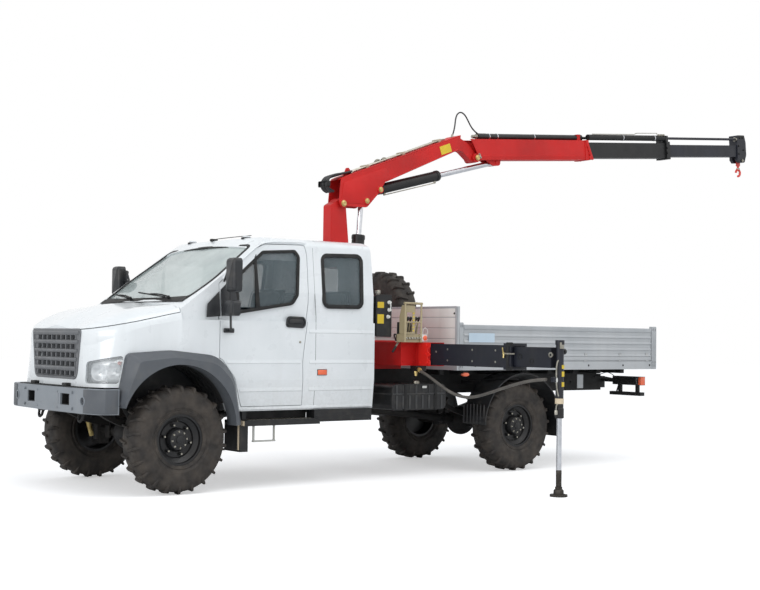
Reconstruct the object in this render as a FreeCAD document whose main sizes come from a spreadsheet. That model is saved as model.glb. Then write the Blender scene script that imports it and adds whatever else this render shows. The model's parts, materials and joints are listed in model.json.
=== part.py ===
"""Truck-mounted loader crane: a 4x4 double-cab lorry with a dropside bed and a folding loader crane.

The frame of the part: +X points forward, +Y to the lorry's left and +Z up, in millimetres.
The origin is on the ground, on the centre plane, at the middle of the whole length. Every sub-part is
drawn from the ground point under the front axle, and its Placement moves it there by front_axle.
"""
import FreeCAD
import Part
import math
import os

Vector = FreeCAD.Vector

# ---------------------------------------------------------------- driving dimensions
DIMENSIONS = {
    # running gear
    "front_axle": 4601.2, "wheelbase": 4515, "front_track": 1820, "rear_track": 1790,
    "tyre_radius": 530, "tyre_width": 310, "bead_radius": 250, "kingpin_offset": 750,
    # chassis
    "rail_outer": 430, "rail_width": 70, "rail_bottom": 900, "rail_height": 210, "rail_wall": 10,
    "rail_rear": 6580, "subframe_height": 80,
    # cab
    "cab_half_width": 1030, "cab_rear": 2360, "cab_bottom": 790, "cab_floor": 1115, "roof_height": 2590,
    "panel_wall": 55, "door_front": 430, "door_gap": 8, "arch_radius": 640, "arch_centre_x": 50,
    "glass_thickness": 6,
    # bed
    "bed_front": 3420, "bed_rear": 6800, "bed_half_width": 1170, "bed_bottom": 1190, "bed_floor": 1290,
    "board_height": 410, "board_thickness": 28, "post_top": 1730, "headboard_top": 1910,
    # crane
    "slew_x": 2850, "post_radius": 138, "post_bore": 124, "column_half_width": 74,
    "boom_half_width": 110, "boom_wall": 10, "outer_half_width": 100, "outer_height": 260,
    "boom_angle": 5.4, "lift_barrel_radius": 75, "fold_barrel_radius": 62, "rod_radius": 33,
    "extension_barrel_radius": 36, "extension_rod_radius": 18,
    # outriggers
    "channel_width": 205, "channel_bottom": 1240, "channel_height": 260, "channel_wall": 8,
    "channel_end": 1200, "leg_reach": 3080, "leg_radius": 40, "jack_radius": 26, "foot_radius": 88,
}

doc = FreeCAD.newDocument("LoaderCrane")
sheet = doc.addObject("Spreadsheet::Sheet", "Dimensions")
for row, (alias, number) in enumerate(DIMENSIONS.items(), start=1):
    sheet.set(f"A{row}", alias)
    sheet.set(f"B{row}", str(number))
    sheet.setAlias(f"B{row}", alias)
doc.recompute()


def dim(alias):
    """The number in the sheet's cell of that name."""
    return float(sheet.get(alias))


def bind(piece, prop, text):
    """Bind a property to an expression, in which a bare word is a cell of the sheet."""
    words = []
    for word in str(text).split():
        words.append("Dimensions." + word if word in DIMENSIONS else word)
    piece.setExpression(prop, " ".join(words))


# ---------------------------------------------------------------- helpers
def box(name, corner, size):
    """A Part::Box with its low corner and its size given as numbers or expressions."""
    piece = doc.addObject("Part::Box", name)
    for axis, text in zip("xyz", corner):
        bind(piece, f".Placement.Base.{axis}", text)
    for prop, text in zip(("Length", "Width", "Height"), size):
        bind(piece, prop, text)
    return piece


def rod(name, radius, start, end):
    """A Part::Cylinder from one point to another."""
    start, end = Vector(*start), Vector(*end)
    piece = doc.addObject("Part::Cylinder", name)
    bind(piece, "Radius", radius)
    piece.Height = (end - start).Length
    piece.Placement = FreeCAD.Placement(start, FreeCAD.Rotation(Vector(0, 0, 1), end - start))
    return piece


def fuse(name, pieces):
    """One Part::MultiFuse of all the pieces, with its seams removed."""
    joined = doc.addObject("Part::MultiFuse", name)
    joined.Shapes = pieces
    joined.Refine = True
    return joined


def cut(name, base, tools):
    """A Part::Cut of the tools, fused where there are several, from the base."""
    result = doc.addObject("Part::Cut", name)
    result.Base = base
    result.Tool = tools[0] if len(tools) == 1 else fuse(name + "Tools", tools)
    result.Refine = True
    return result


def solid(name, shape):
    """A Part::Feature that holds a shape made with Part's own functions."""
    piece = doc.addObject("Part::Feature", name)
    piece.Shape = shape
    return piece


def outline_edges(points, place):
    """Edges of a closed outline; a third number on a point rounds that corner by its radius."""
    corners = [Vector(p[0], p[1], 0) for p in points]
    radii = [p[2] if len(p) > 2 else 0 for p in points]
    count = len(corners)
    starts, arcs = [], []
    for i, corner in enumerate(corners):
        before = (corners[i - 1] - corner).normalize()
        after = (corners[(i + 1) % count] - corner).normalize()
        half = before.getAngle(after) / 2
        if radii[i] == 0 or half > math.radians(89.5):
            starts.append((corner, corner))
            arcs.append(None)
            continue
        reach = radii[i] / math.tan(half)
        middle = (before + after).normalize()
        apex = corner + middle * (radii[i] / math.sin(half) - radii[i])
        starts.append((corner + before * reach, corner + after * reach))
        arcs.append(apex)
    edges = []
    for i in range(count):
        enter, leave = starts[i]
        if arcs[i] is not None:
            edges.append(Part.Arc(place(enter), place(arcs[i]), place(leave)))
        ahead = starts[(i + 1) % count][0]
        if (ahead - leave).Length > 0.01:
            edges.append(Part.LineSegment(place(leave), place(ahead)))
    return edges


PLANES = {"x": "YZ_Plane", "y": "XZ_Plane", "z": "XY_Plane"}
OFFSETS = {"x": "x", "y": "y", "z": "z"}


def pad(name, axis, outline, start, length):
    """A PartDesign body: an outline square to an axis, padded from start along the axis by length."""
    body = doc.addObject("PartDesign::Body", name)
    sketch = body.newObject("Sketcher::SketchObject", name + "Outline")
    plane = [f for f in body.Origin.OriginFeatures if f.Role == PLANES[axis]][0]
    sketch.AttachmentSupport = (plane, "")
    sketch.MapMode = "FlatFace"
    for edge in outline_edges(outline, lambda p: p):
        sketch.addGeometry(edge, False)
    feature = body.newObject("PartDesign::Pad", name + "Pad")
    feature.Profile = sketch
    feature.Reversed = axis == "y"
    bind(feature, "Length", length)
    bind(body, f".Placement.Base.{OFFSETS[axis]}", start)
    return body


def prism(axis, outline, start, end):
    """A shape: an outline square to an axis, drawn out from start to end along it."""
    turn = {"x": lambda p: Vector(start, p.x, p.y), "y": lambda p: Vector(p.x, start, p.y),
            "z": lambda p: Vector(p.x, p.y, start)}[axis]
    wire = Part.Wire([edge.toShape() for edge in outline_edges(outline, turn)])
    reach = {"x": Vector(end - start, 0, 0), "y": Vector(0, end - start, 0),
             "z": Vector(0, 0, end - start)}[axis]
    return Part.Face(wire).extrude(reach)


def mirrored(shape):
    """The same shape on the other side of the centre plane."""
    return shape.mirror(Vector(0, 0, 0), Vector(0, 1, 0))


SUBPARTS = []


def finish(piece, node):
    """Name a sub-part and move it from the front axle's ground point to the part's own origin."""
    piece.Label = node
    bind(piece, ".Placement.Base.x", "front_axle")
    SUBPARTS.append(piece)
    return piece


def finish_at(piece, node, place_y, place_z, from_axle="0"):
    """Name a sub-part drawn about its own centre and place it, from_axle behind the front axle."""
    piece.Label = node
    bind(piece, ".Placement.Base.x", f"front_axle - {from_axle}")
    bind(piece, ".Placement.Base.y", place_y)
    bind(piece, ".Placement.Base.z", place_z)
    SUBPARTS.append(piece)
    return piece


# ---------------------------------------------------------------- chassis
def make_chassis():
    """Two channel rails, open inward, tied by cross-members, with the bed's subframe on top."""
    rail_top = dim("rail_bottom") + dim("rail_height")
    outer, inner = dim("rail_outer"), dim("rail_outer") - dim("rail_width")
    wall = dim("rail_wall")
    pieces = []
    for side, sign in (("Left", 1), ("Right", -1)):
        low = inner if sign > 0 else -outer
        rail = box("Rail" + side, ("- rail_rear", low, "rail_bottom"),
                   ("rail_rear + 790", "rail_width", "rail_height"))
        pocket_low = low - 1 if sign > 0 else low + wall
        pocket = box("RailPocket" + side, ("- rail_rear - 1", pocket_low, "rail_bottom + rail_wall"),
                     ("rail_rear + 792", "rail_width - rail_wall + 1", "rail_height - 2 * rail_wall"))
        nose = box("RailNose" + side, (540, low - 1, 1020), (300, dim("rail_width") + 2, 120))
        pieces.append(cut("Channel" + side, rail, [pocket, nose]))
        pieces.append(box("Subframe" + side, (-6500, low, rail_top),
                          (4000, "rail_width", "subframe_height")))
        pieces.append(box("BumperBracket" + side, (700, low, 850), (158, "rail_width", 100)))
    for number, station in enumerate((-6540, -5300, -3700, -2450, -1350, 640)):
        pieces.append(box(f"CrossMember{number}", (station, -outer + wall / 2, 920),
                          (80, 2 * outer - wall, 95)))
    for number, station in enumerate((-6500, -5100, -3600, -2500)):
        pieces.append(box(f"SubframeTie{number}", (station, -inner - 5, rail_top),
                          (80, 2 * inner + 10, "subframe_height")))
    return finish(fuse("Chassis", pieces), "chassis")


def spring_pack(name, centre_x, low_y, half_length, rise):
    """A leaf-spring pack as one bowed band with its eyes and hangers up to the rail."""
    under, over = dim("tyre_radius") + 55, dim("tyre_radius") + 125
    place = lambda x, z: Vector(centre_x + x, low_y, z)
    lower = Part.Arc(place(-half_length, rise), place(0, under), place(half_length, rise))
    upper = Part.Arc(place(half_length, rise + 24), place(0, over), place(-half_length, rise + 24))
    ends = [Part.LineSegment(place(half_length, rise), place(half_length, rise + 24)),
            Part.LineSegment(place(-half_length, rise + 24), place(-half_length, rise))]
    wire = Part.Wire([lower.toShape(), ends[0].toShape(), upper.toShape(), ends[1].toShape()])
    pieces = [solid(name + "Leaves", Part.Face(wire).extrude(Vector(0, 75, 0)))]
    for end, x in (("Front", centre_x + half_length), ("Rear", centre_x - half_length)):
        pieces.append(rod(name + "Eye" + end, 32, (x, low_y - 5, rise + 12), (x, low_y + 80, rise + 12)))
        pieces.append(box(name + "Hanger" + end, (x - 22, low_y + 5, rise + 12),
                          (44, 60, dim("rail_bottom") - rise - 12)))
    for number, x in enumerate((centre_x - 70, centre_x + 50)):
        pieces.append(box(f"{name}Clip{number}", (x, low_y - 12, dim("tyre_radius") - 70), (20, 99, 206)))
    return pieces


def make_running_gear():
    """Both axles on their springs, and the drive line between gearbox, transfer box and axles."""
    hub = dim("tyre_radius")
    rear = -dim("wheelbase")
    pieces = []
    for end, x, beam_half in (("Front", 0, 655), ("Rear", rear, 760)):
        pieces.append(rod(end + "Beam", 58, (x, -beam_half, hub), (x, beam_half, hub)))
        casing = doc.addObject("Part::Sphere", end + "Casing")
        casing.Radius = 175
        casing.Placement.Base = Vector(x, 0, hub + 5)
        pieces.append(casing)
        for side, low_y in (("Left", 360), ("Right", -435)):
            rise = 800 if end == "Front" else 790
            pieces += spring_pack(end + "Spring" + side, x, low_y, 620 if end == "Front" else 700, rise)
    pieces.append(rod("FrontPinion", 62, (0, 0, hub + 20), (-300, 0, hub + 45)))
    pieces.append(rod("RearPinion", 62, (rear, 0, hub + 20), (rear + 330, 0, hub + 45)))
    pieces.append(rod("FrontShaft", 38, (-250, 0, hub + 42), (-1780, 0, 800)))
    pieces.append(rod("RearShaft", 45, (-2050, 0, 820), (rear + 250, 0, hub + 40)))
    pieces.append(box("TransferBox", (-2120, -170, 700), (380, 340, 300)))
    pieces.append(rod("MainShaft", 35, (-1800, 0, 860), (-950, 0, 860)))
    pieces.append(box("Gearbox", (-980, -140, 800), (930, 280, 270)))
    for side, sign in (("Left", 1), ("Right", -1)):
        for level, z in (("Lower", hub - 148), ("Upper", hub + 118)):
            y = 600 if sign > 0 else -600 - 200
            pieces.append(box(f"YokeArm{side}{level}", (-50, y, z), (100, 200, 30)))
        y = 600 if sign > 0 else -655
        pieces.append(box(f"YokeRoot{side}", (-50, y, hub - 148), (100, 55, 296)))
    return finish(fuse("RunningGear", pieces), "running_gear")


def make_engine():
    """The engine as one plain block between the rails."""
    block = box("Engine", (20, -270, 810), (560, 540, 760))
    return finish(fuse("EngineBlock", [block, box("Radiator", (630, -350, 1060), (60, 700, 480)),
                                       box("RadiatorMount", (579, -60, 1100), (52, 120, 60))]),
                  "engine_block")


# ---------------------------------------------------------------- wheels
TYRE_FACETS = 26


def make_tyre(name):
    """A faceted tyre about its own axle, which lies along Y, with lugs left and right in turn."""
    radius, half, bead = dim("tyre_radius"), dim("tyre_width") / 2, dim("bead_radius")
    step = math.tau / TYRE_FACETS
    grow = 1 / math.cos(step / 2)
    crown = radius - 26
    profile = [(-half + 40, bead), (half - 40, bead), (half, bead + 120), (half - 10, crown - 35),
               (half - 45, crown), (-half + 45, crown), (-half + 10, crown - 35), (-half, bead + 120)]

    def spot(across, distance, angle):
        return Vector(-distance * grow * math.sin(angle), across, -distance * grow * math.cos(angle))

    faces = []
    for number in range(TYRE_FACETS):
        first, last = (number - 0.5) * step, (number + 0.5) * step
        for (y0, r0), (y1, r1) in zip(profile, profile[1:] + profile[:1]):
            corners = [spot(y0, r0, first), spot(y1, r1, first), spot(y1, r1, last), spot(y0, r0, last)]
            faces.append(Part.Face(Part.makePolygon(corners + corners[:1])))
    shell = Part.Shell(faces)
    shell.sewShape()
    ring = Part.Solid(shell)
    if ring.Volume < 0:
        ring.reverse()
    section = [(4, crown - 16), (4, radius), (half - 34, radius), (half - 2, crown - 32),
               (half - 14, crown - 62), (half - 70, crown - 24)]
    lugs = []
    for number in range(TYRE_FACETS):
        side = 1 if number % 2 else -1
        corners = [Vector(-28, side * y, -r) for y, r in section]
        lug = Part.Face(Part.makePolygon(corners + corners[:1])).extrude(Vector(56, 0, 0))
        lug.rotate(Vector(0, 0, 0), Vector(0, 1, 0), math.degrees(number * step))
        lugs.append(lug)
    return solid(name, ring.fuse(lugs))


def make_rim(name, side):
    """A dished steel rim with its hub dome, open inward where the knuckle sits."""
    bead, half = dim("bead_radius") - 0.4, dim("tyre_width") / 2 - 40
    out = side
    outline = [(-half, bead), (half, bead), (half, bead - 22), (half - 30, bead - 26),
               (half - 60, 180), (40, 172), (40, 120), (70, 112), (100, 96), (118, 60), (122, 0.0),
               (20, 0.0), (20, 205), (-half, 222)]
    edges = [edge.toShape() for edge in outline_edges([(out * y, r) for y, r in outline],
                                                      lambda p: Vector(0, p.x, p.y))]
    face = Part.Face(Part.Wire(edges))
    return solid(name, face.revolve(Vector(0, 0, 0), Vector(0, 1, 0), 360))


def make_wheels():
    """Four road wheels with the front ones' steering knuckles, and the spare wheel."""
    places = (("front_left", 1, "front_track / 2", "0"), ("front_right", -1, "- front_track / 2", "0"),
              ("rear_left", 1, "rear_track / 2", "wheelbase"),
              ("rear_right", -1, "- rear_track / 2", "wheelbase"))
    for name, side, across, back in places:
        finish_at(make_tyre("Tyre_" + name), "tyre_" + name, across, "tyre_radius", back)
        finish_at(make_rim("Rim_" + name, side), "rim_" + name, across, "tyre_radius", back)
    for name, side in (("left", 1), ("right", -1)):
        hub = dim("tyre_radius")
        kingpin = side * dim("kingpin_offset")
        stub = rod("Stub_" + name, 55, (0, kingpin, hub), (0, side * (dim("front_track") / 2 + 19), hub))
        pivot = rod("Pivot_" + name, 72, (0, kingpin, hub - 112), (0, kingpin, hub + 112))
        lever = box("Lever_" + name, (-190, kingpin - 20, hub - 60), (160, 40, 30))
        finish(fuse("Knuckle_" + name, [stub, pivot, lever]), "knuckle_" + name)
    tyre = make_tyre("SpareTyre")
    rim = make_rim("SpareRim", -1)
    for piece, node in ((tyre, "spare_tyre"), (rim, "spare_rim")):
        piece.Placement = FreeCAD.Placement(Vector(0, 0, 0), FreeCAD.Rotation(Vector(0, 0, 1), -90))
        finish_at(piece, node, -430, 1825, "3618")


# ---------------------------------------------------------------- cab
def cab_solid(inset, bottom):
    """The cab's outer form, shrunk by inset all round, as crossed prisms with a curved windscreen."""
    rear = -dim("cab_rear") + inset
    roof = dim("roof_height") - inset
    half = dim("cab_half_width") - inset
    side = [(0, bottom), (0, 1880 - inset), (-880, 2560 - inset, 60), (-1500, roof, 400),
            (rear + 12, roof - 8, 70), (rear, 2300), (rear, bottom)]
    section = [(half - 30, bottom), (half, bottom + 310 if bottom < 1000 else bottom), (half, 1750, 500),
               (half - 92, 2520 - inset, 70), (half - 190, 2572 - inset, 200), (0, roof, 2500),
               (-half + 190, 2572 - inset, 200), (-half + 92, 2520 - inset, 70), (-half, 1750, 500),
               (-half, bottom + 310 if bottom < 1000 else bottom), (-half + 30, bottom)]
    if bottom >= 1000:
        section = section[1:-1]
    body = prism("y", side, -1200, 1200).common(prism("x", section, -3000, 200))
    slope = Vector(-880, 0, 640)
    bulge = 105
    front = 5 - inset * 1.6
    arc = Part.Arc(Vector(front - bulge, -1000, 1880), Vector(front, 0, 1880),
                   Vector(front - bulge, 1000, 1880)).toShape()
    corners = [Vector(front - bulge, 1000, 1880), Vector(-4000, 1000, 1880),
               Vector(-4000, -1000, 1880), Vector(front - bulge, -1000, 1880)]
    edges = [arc] + [Part.makeLine(a, b) for a, b in zip(corners, corners[1:])]
    floor = Part.Face(Part.Wire(edges))
    floor.translate(slope * -0.3)
    sweep = floor.extrude(slope * 2)
    upper = sweep.fuse(Part.makeBox(4000, 2400, 1000, Vector(-3900, -1200, 700)))
    return body.common(upper)


def arch_cutter(radius, low_y, high_y):
    """The wheel arch's cylinder, across both sides between two distances from the centre plane."""
    centre = Vector(dim("arch_centre_x"), low_y, 640)
    left = Part.makeCylinder(radius, high_y - low_y, centre, Vector(0, 1, 0))
    return left.fuse(mirrored(left))


DOOR_OUTLINE = [(-430, 1322, 10), (-430, 2062, 15), (-850, 2423, 90), (-985, 2485, 60), (-1478, 2500, 30),
                (-1503, 2400, 60), (-1497, 1894, 300), (-1420, 1300, 300), (-1431, 838, 12), (-700, 838, 12),
                (-677, 905, 80), (-608, 1128, 80), (-458, 1316, 30)]
DOOR_WINDOW = [(-640, 1775, 12), (-1300, 1880, 90), (-1372, 1975, 60), (-1410, 2380, 60),
               (-1360, 2440, 30), (-960, 2412, 60), (-620, 2128, 20)]
REAR_WINDOW = [(-1688, 1852, 75), (-2208, 1858, 75), (-2238, 2436, 75), (-1692, 2420, 75)]
REAR_WALL_WINDOW = [(-420, 1850, 70), (420, 1850, 70), (420, 2330, 70), (-420, 2330, 70)]


def door_cutter(margin):
    """The doors' outline, which follows the wheel flare at its lower front, through both side walls."""
    grown = Part.Wire([e.toShape() for e in outline_edges(DOOR_OUTLINE, lambda p: Vector(p.x, 900, p.y))])
    if margin:
        grown = grown.makeOffset2D(margin)
    slab = Part.Face(grown).extrude(Vector(0, 300, 0))
    return slab.fuse(mirrored(slab))


def window_cutter(outline, margin):
    """A side window's outline, shrunk by a margin, through both side walls."""
    wire = Part.Wire([e.toShape() for e in outline_edges(outline, lambda p: Vector(p.x, 850, p.y))])
    if margin:
        wire = wire.makeOffset2D(-margin)
    slab = Part.Face(wire).extrude(Vector(0, 300, 0))
    return slab.fuse(mirrored(slab))


def windscreen_cutter(margin):
    """The windscreen's opening, square to its slope, with its lower corners swept back."""
    along = Vector(-880, 0, 640).normalize()
    across = Vector(0, 1, 0)
    square = along.cross(across)
    base = Vector(0, 0, 1880) + along * 40
    length = 985
    outline = [(-905, 25, 70), (0, -14, 1200), (905, 25, 70), (948, 330, 900), (845, length, 90),
               (0, length + 14, 1500), (-845, length, 90), (-948, 330, 900)]
    place = lambda p: base + across * p.x + along * p.y - square * 300
    wire = Part.Wire([e.toShape() for e in outline_edges(outline, place)])
    if margin:
        wire = wire.makeOffset2D(-margin)
    return Part.Face(wire).extrude(square * 600)


def make_cab():
    """The hollow double cab, its two front doors, its glass and what is inside."""
    wall, bottom = dim("panel_wall"), dim("cab_bottom")
    outer = cab_solid(0, bottom)
    hollow = cab_solid(wall, dim("cab_floor") + 40)
    hollow = hollow.cut(Part.makeBox(600, 2400, 250, Vector(-430, -1200, 1100)))
    hollow = hollow.cut(Part.makeBox(200, 2400, 900, Vector(-130, -1200, 1100)))
    deep_hollow = cab_solid(wall, 600)
    under = prism("y", [(-2400, 600), (-2400, 1115), (10, 1115), (10, 600)], -900, 900)
    ahead = Part.makeBox(500, 2400, 500, Vector(-380, -1200, 600))
    shell = outer.cut(hollow).cut(under).cut(ahead)
    shell = shell.cut(arch_cutter(dim("arch_radius"), 380, 1300))
    skin = outer.cut(deep_hollow)
    thick_skin = outer.cut(cab_solid(wall + 5, 600))
    doors = skin.common(door_cutter(0))
    shell = shell.cut(thick_skin.common(door_cutter(dim("door_gap"))))
    glass_holes = [window_cutter(REAR_WINDOW, 0), windscreen_cutter(0),
                   prism("x", REAR_WALL_WINDOW, -2500, -2200)]
    for hole in glass_holes:
        shell = shell.cut(hole)
    tunnel = Part.makeBox(360, 640, 520, Vector(-350, -320, 1000))
    shell = shell.cut(tunnel)
    finish(solid("CabShell", shell.removeSplitter()), "cab_shell")
    doors = doors.cut(window_cutter(DOOR_WINDOW, 0))
    pane = cab_solid(14, 900).cut(cab_solid(14 + dim("glass_thickness"), 900))
    panes = [pane.common(windscreen_cutter(1)), pane.common(window_cutter(REAR_WINDOW, 1)),
             pane.common(prism("x", REAR_WALL_WINDOW, -2500, -2200))]
    finish(solid("CabGlass", Part.makeCompound([s for p in panes for s in p.Solids])), "cab_glass")
    door_panes = pane.common(window_cutter(DOOR_WINDOW, 1))
    for side, sign in (("left", 1), ("right", -1)):
        half = Part.makeBox(3000, 1300, 3000, Vector(-2800, 0 if sign > 0 else -1300, 0))
        door = doors.common(half)
        finish(solid("Door_" + side, door.removeSplitter()), "door_" + side)
        finish(solid("DoorGlass_" + side, door_panes.common(half)), "door_glass_" + side)
        make_mirrors(side, sign)


def make_mirrors(side, sign):
    """A tall mirror and a wide-angle one on a tube arm, standing off the door."""
    def at(x, y, z):
        return (x, sign * y, z)
    low_y = 1150 if sign > 0 else -1330
    pieces = [rod("MirrorArm_" + side, 11, at(-500, 1112, 1596), at(-480, 1112, 2262)),
              rod("MirrorTop_" + side, 11, at(-480, 1112, 2255), at(-480, 1004, 2085)),
              rod("MirrorFoot_" + side, 11, at(-500, 1112, 1600), at(-525, 1038, 1600)),
              rod("MirrorHook_" + side, 9, at(-492, 1112, 2140), at(-470, 1200, 2140)),
              rod("MirrorReach_" + side, 9, at(-496, 1112, 1830), at(-450, 1200, 1830))]
    head = pad("MirrorHead_" + side, "x", [(low_y, 1975, 40), (low_y + 180, 1975, 40),
                                           (low_y + 180, 2310, 40), (low_y, 2310, 40)], -490, 65)
    wide = pad("MirrorWide_" + side, "x", [(low_y, 1740, 40), (low_y + 190, 1740, 40),
                                           (low_y + 190, 1895, 40), (low_y, 1895, 40)], -470, 80)
    foot_y = 1030 if sign > 0 else -1046
    foot = box("MirrorPad_" + side, (-560, foot_y, 1575), (80, 16, 40))
    finish(fuse("Mirrors_" + side, pieces + [head, wide, foot]), "mirrors_" + side)


def make_cab_interior():
    """Two front seats, the rear bench, the fascia and the steering wheel, on the cab's floor."""
    floor = dim("cab_floor") + 40
    pieces = []
    seats = (("Driver", -1220, 250, 500), ("Mate", -1220, -790, 540), ("Bench", -2080, -800, 1600))
    for name, x, low_y, width in seats:
        back = -160
        outline = [(x + 480, floor), (x + 500, floor + 250, 60), (x + 470, floor + 400, 60),
                   (x + 60, floor + 380, 40), (x - 20, floor + 900, 50), (x + back, floor + 900, 60),
                   (x - 80, floor + 260, 60), (x - 60, floor)]
        pieces.append(pad(name + "Seat", "y", outline, low_y, width))
    fascia = pad("Fascia", "y", [(-135, 1360), (-135, 1790, 40), (-430, 1780, 90), (-480, 1640, 60),
                                 (-400, 1360, 40)], -940, 1880)
    column = rod("SteeringColumn", 25, (-420, 500, 1600), (-650, 500, 1790))
    ring = doc.addObject("Part::Torus", "SteeringWheel")
    ring.Radius1 = 200
    ring.Radius2 = 15
    ring.Placement = FreeCAD.Placement(Vector(-650, 500, 1790),
                                       FreeCAD.Rotation(Vector(0, 0, 1), Vector(-230, 0, 190)))
    spoke = rod("SteeringSpoke", 14, (-650, 300, 1790), (-650, 700, 1790))
    group = fuse("CabInterior", pieces + [fascia, column, ring, spoke])
    return finish(group, "cab_interior")


# ---------------------------------------------------------------- front end
def nose_solid(inset):
    """The front end's outer form lofted through cross sections from the cowl to the grille."""
    stations = [(0, 1030, 1030, 1700, 1800, 1880), (300, 1010, 1006, 1640, 1735, 1850),
                (560, 970, 955, 1560, 1668, 1780), (745, 880, 800, 1470, 1610, 1690),
                (835, 620, 595, 1440, 1580, 1630)]
    wires = []
    for number, (x, foot, half, shoulder, edge, crown) in enumerate(stations):
        x = x - inset if number == len(stations) - 1 else x
        foot, half, crown, edge = foot - inset, half - inset, crown - inset, edge - inset
        left, right = Vector(x, foot, 1040), Vector(x, -foot, 1040)
        points = [Vector(x, half, shoulder), Vector(x, half * 0.955, edge), Vector(x, half * 0.6, crown - 34),
                  Vector(x, 0, crown), Vector(x, -half * 0.6, crown - 34), Vector(x, -half * 0.955, edge),
                  Vector(x, -half, shoulder)]
        curve = Part.BSplineCurve()
        curve.interpolate(points)
        wires.append(Part.Wire([Part.makeLine(left, points[0]), curve.toShape(),
                                Part.makeLine(points[-1], right), Part.makeLine(right, left)]))
    return Part.makeLoft(wires, True, False)


def lamp_cutter(margin):
    """The headlamps' outline, seen square on from the lorry's corner, through the front end."""
    facing = Vector(0.75, 0.66, 0)
    across = Vector(-0.66, 0.75, 0)
    m = margin
    outline = [(-50 + m, 1075 + m, 25), (300 - m, 1078 + m, 30), (335 - m, 1345 - m, 25), (-46 + m, 1278 - m, 40)]
    place = lambda p: facing * 300 + across * p.x + Vector(0, 0, p.y)
    wire = Part.Wire([e.toShape() for e in outline_edges(outline, place)])
    left = Part.Face(wire).extrude(facing * 900)
    return left.fuse(mirrored(left))


GRILLE_OUTLINE = [(-480, 1118, 70), (480, 1118, 70), (556, 1582, 25), (-556, 1582, 25)]


def make_front_end():
    """Wings and front panel, bonnet, grille, headlamps, flares and bumper."""
    outer = nose_solid(0)
    inner = nose_solid(36)
    inner.translate(Vector(0, 0, -1))
    inner = inner.fuse(Part.makeBox(700, 1700, 60, Vector(-20, -850, 1035)))
    shell = outer.cut(inner)
    shell = shell.cut(Part.makeBox(60, 1900, 900, Vector(-30, -950, 1000)))
    seam = [(-5, 1775), (345, 1700), (860, 1588), (860, 2200), (-5, 2200)]
    above = prism("y", seam, -1100, 1100)
    bonnet = shell.common(above)
    bonnet = bonnet.cut(Part.makeBox(26, 2200, 2000, Vector(-20, -1100, 1000)))
    below = above.copy()
    below.translate(Vector(0, 0, -dim("door_gap")))
    wings = shell.cut(below).cut(arch_cutter(dim("arch_radius"), 380, 1300))
    grille_hole = prism("x", GRILLE_OUTLINE, 600, 1000)
    wings = wings.cut(grille_hole).cut(lamp_cutter(0))
    front = outer.cut(nose_solid(30))
    finish(solid("Wings", wings.removeSplitter()), "wings")
    finish(solid("Bonnet", bonnet.removeSplitter()), "bonnet")

    slots = []
    for row_z in (1139, 1231, 1316, 1399, 1487):
        for number in range(8):
            slots.append(Part.makeBox(400, 88, 44, Vector(600, -429 + 110 * number, row_z)))
    inside = prism("x", [(-476, 1122, 70), (476, 1122, 70), (552, 1578, 25), (-552, 1578, 25)], 600, 1000)
    grille = front.common(inside).cut(Part.makeCompound(slots))
    finish(solid("Grille", grille), "grille")
    lamps = outer.cut(nose_solid(34)).common(lamp_cutter(2))
    finish(solid("Headlamps", Part.makeCompound(lamps.Solids)), "headlamps")
    make_flares()
    make_bumper()


def make_flares():
    """A moulded band round each front arch, sloping from the wing out to a lip over the tyre."""
    centre_x, radius = dim("arch_centre_x"), dim("arch_radius")

    def on_arc(r, degrees):
        angle = math.radians(degrees)
        return Vector(centre_x + r * math.cos(angle), 0, 640 + r * math.sin(angle))

    def ring(y, inner, outline):
        low, top, high = (on_arc(inner, degrees) for degrees in (178.5, 95, 20))
        corners = [(high.x, high.z)] + outline + [(low.x, low.z)]
        points = [high]
        for edge in outline_edges(corners, lambda p: Vector(p.x, 0, p.y))[:-1]:
            curve = edge.toShape()
            points += curve.discretize(Number=7 if isinstance(edge, Part.Arc) else 2)[1:]
        edges = [Part.makeLine(a, b) for a, b in zip(points, points[1:])]
        wire = Part.Wire(edges + [Part.Arc(low, top, high).toShape()])
        wire.translate(Vector(0, y, 0))
        return wire

    lip = radius - 18
    wide = [(650, 900), (572, 1368, 60), (120, 1400, 900), (-420, 1345, 300), (-605, 1120, 250),
            (-650, 860, 300), (-690, 660)]
    narrow = [(646, 900), (492, 1290, 60), (110, 1332, 900), (-350, 1272, 300), (-527, 1095, 250),
              (-578, 850, 300), (-612, 662)]
    band = Part.makeLoft([ring(1031, lip, wide), ring(1135, lip, narrow)], True, True)
    filler = Part.Face(ring(925, lip, wide)).extrude(Vector(0, 106, 0))
    corner = prism("z", [(5, 1031), (110, 1031), (160, 1028), (212, 1022), (300, 1014), (430, 999),
                         (560, 977), (600, 967), (670, 935), (670, 1031.5), (5, 1031.5)], 600, 1500)
    filler = filler.common(corner)
    inner, outer = [on_arc(lip, d) for d in (178.5, 95, 20)], [on_arc(radius - 1, d) for d in (20, 95, 178.5)]
    hem = Part.Wire([Part.Arc(*inner).toShape(), Part.makeLine(inner[2], outer[0]),
                     Part.Arc(*outer).toShape(), Part.makeLine(outer[2], inner[0])])
    liner = Part.Face(hem).extrude(Vector(0, 76, 0))
    liner.translate(Vector(0, 955, 0))
    left = band.fuse([filler, liner]).removeSplitter()
    finish(solid("Flares", Part.makeCompound([left, mirrored(left)])), "wheel_flares")


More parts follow.
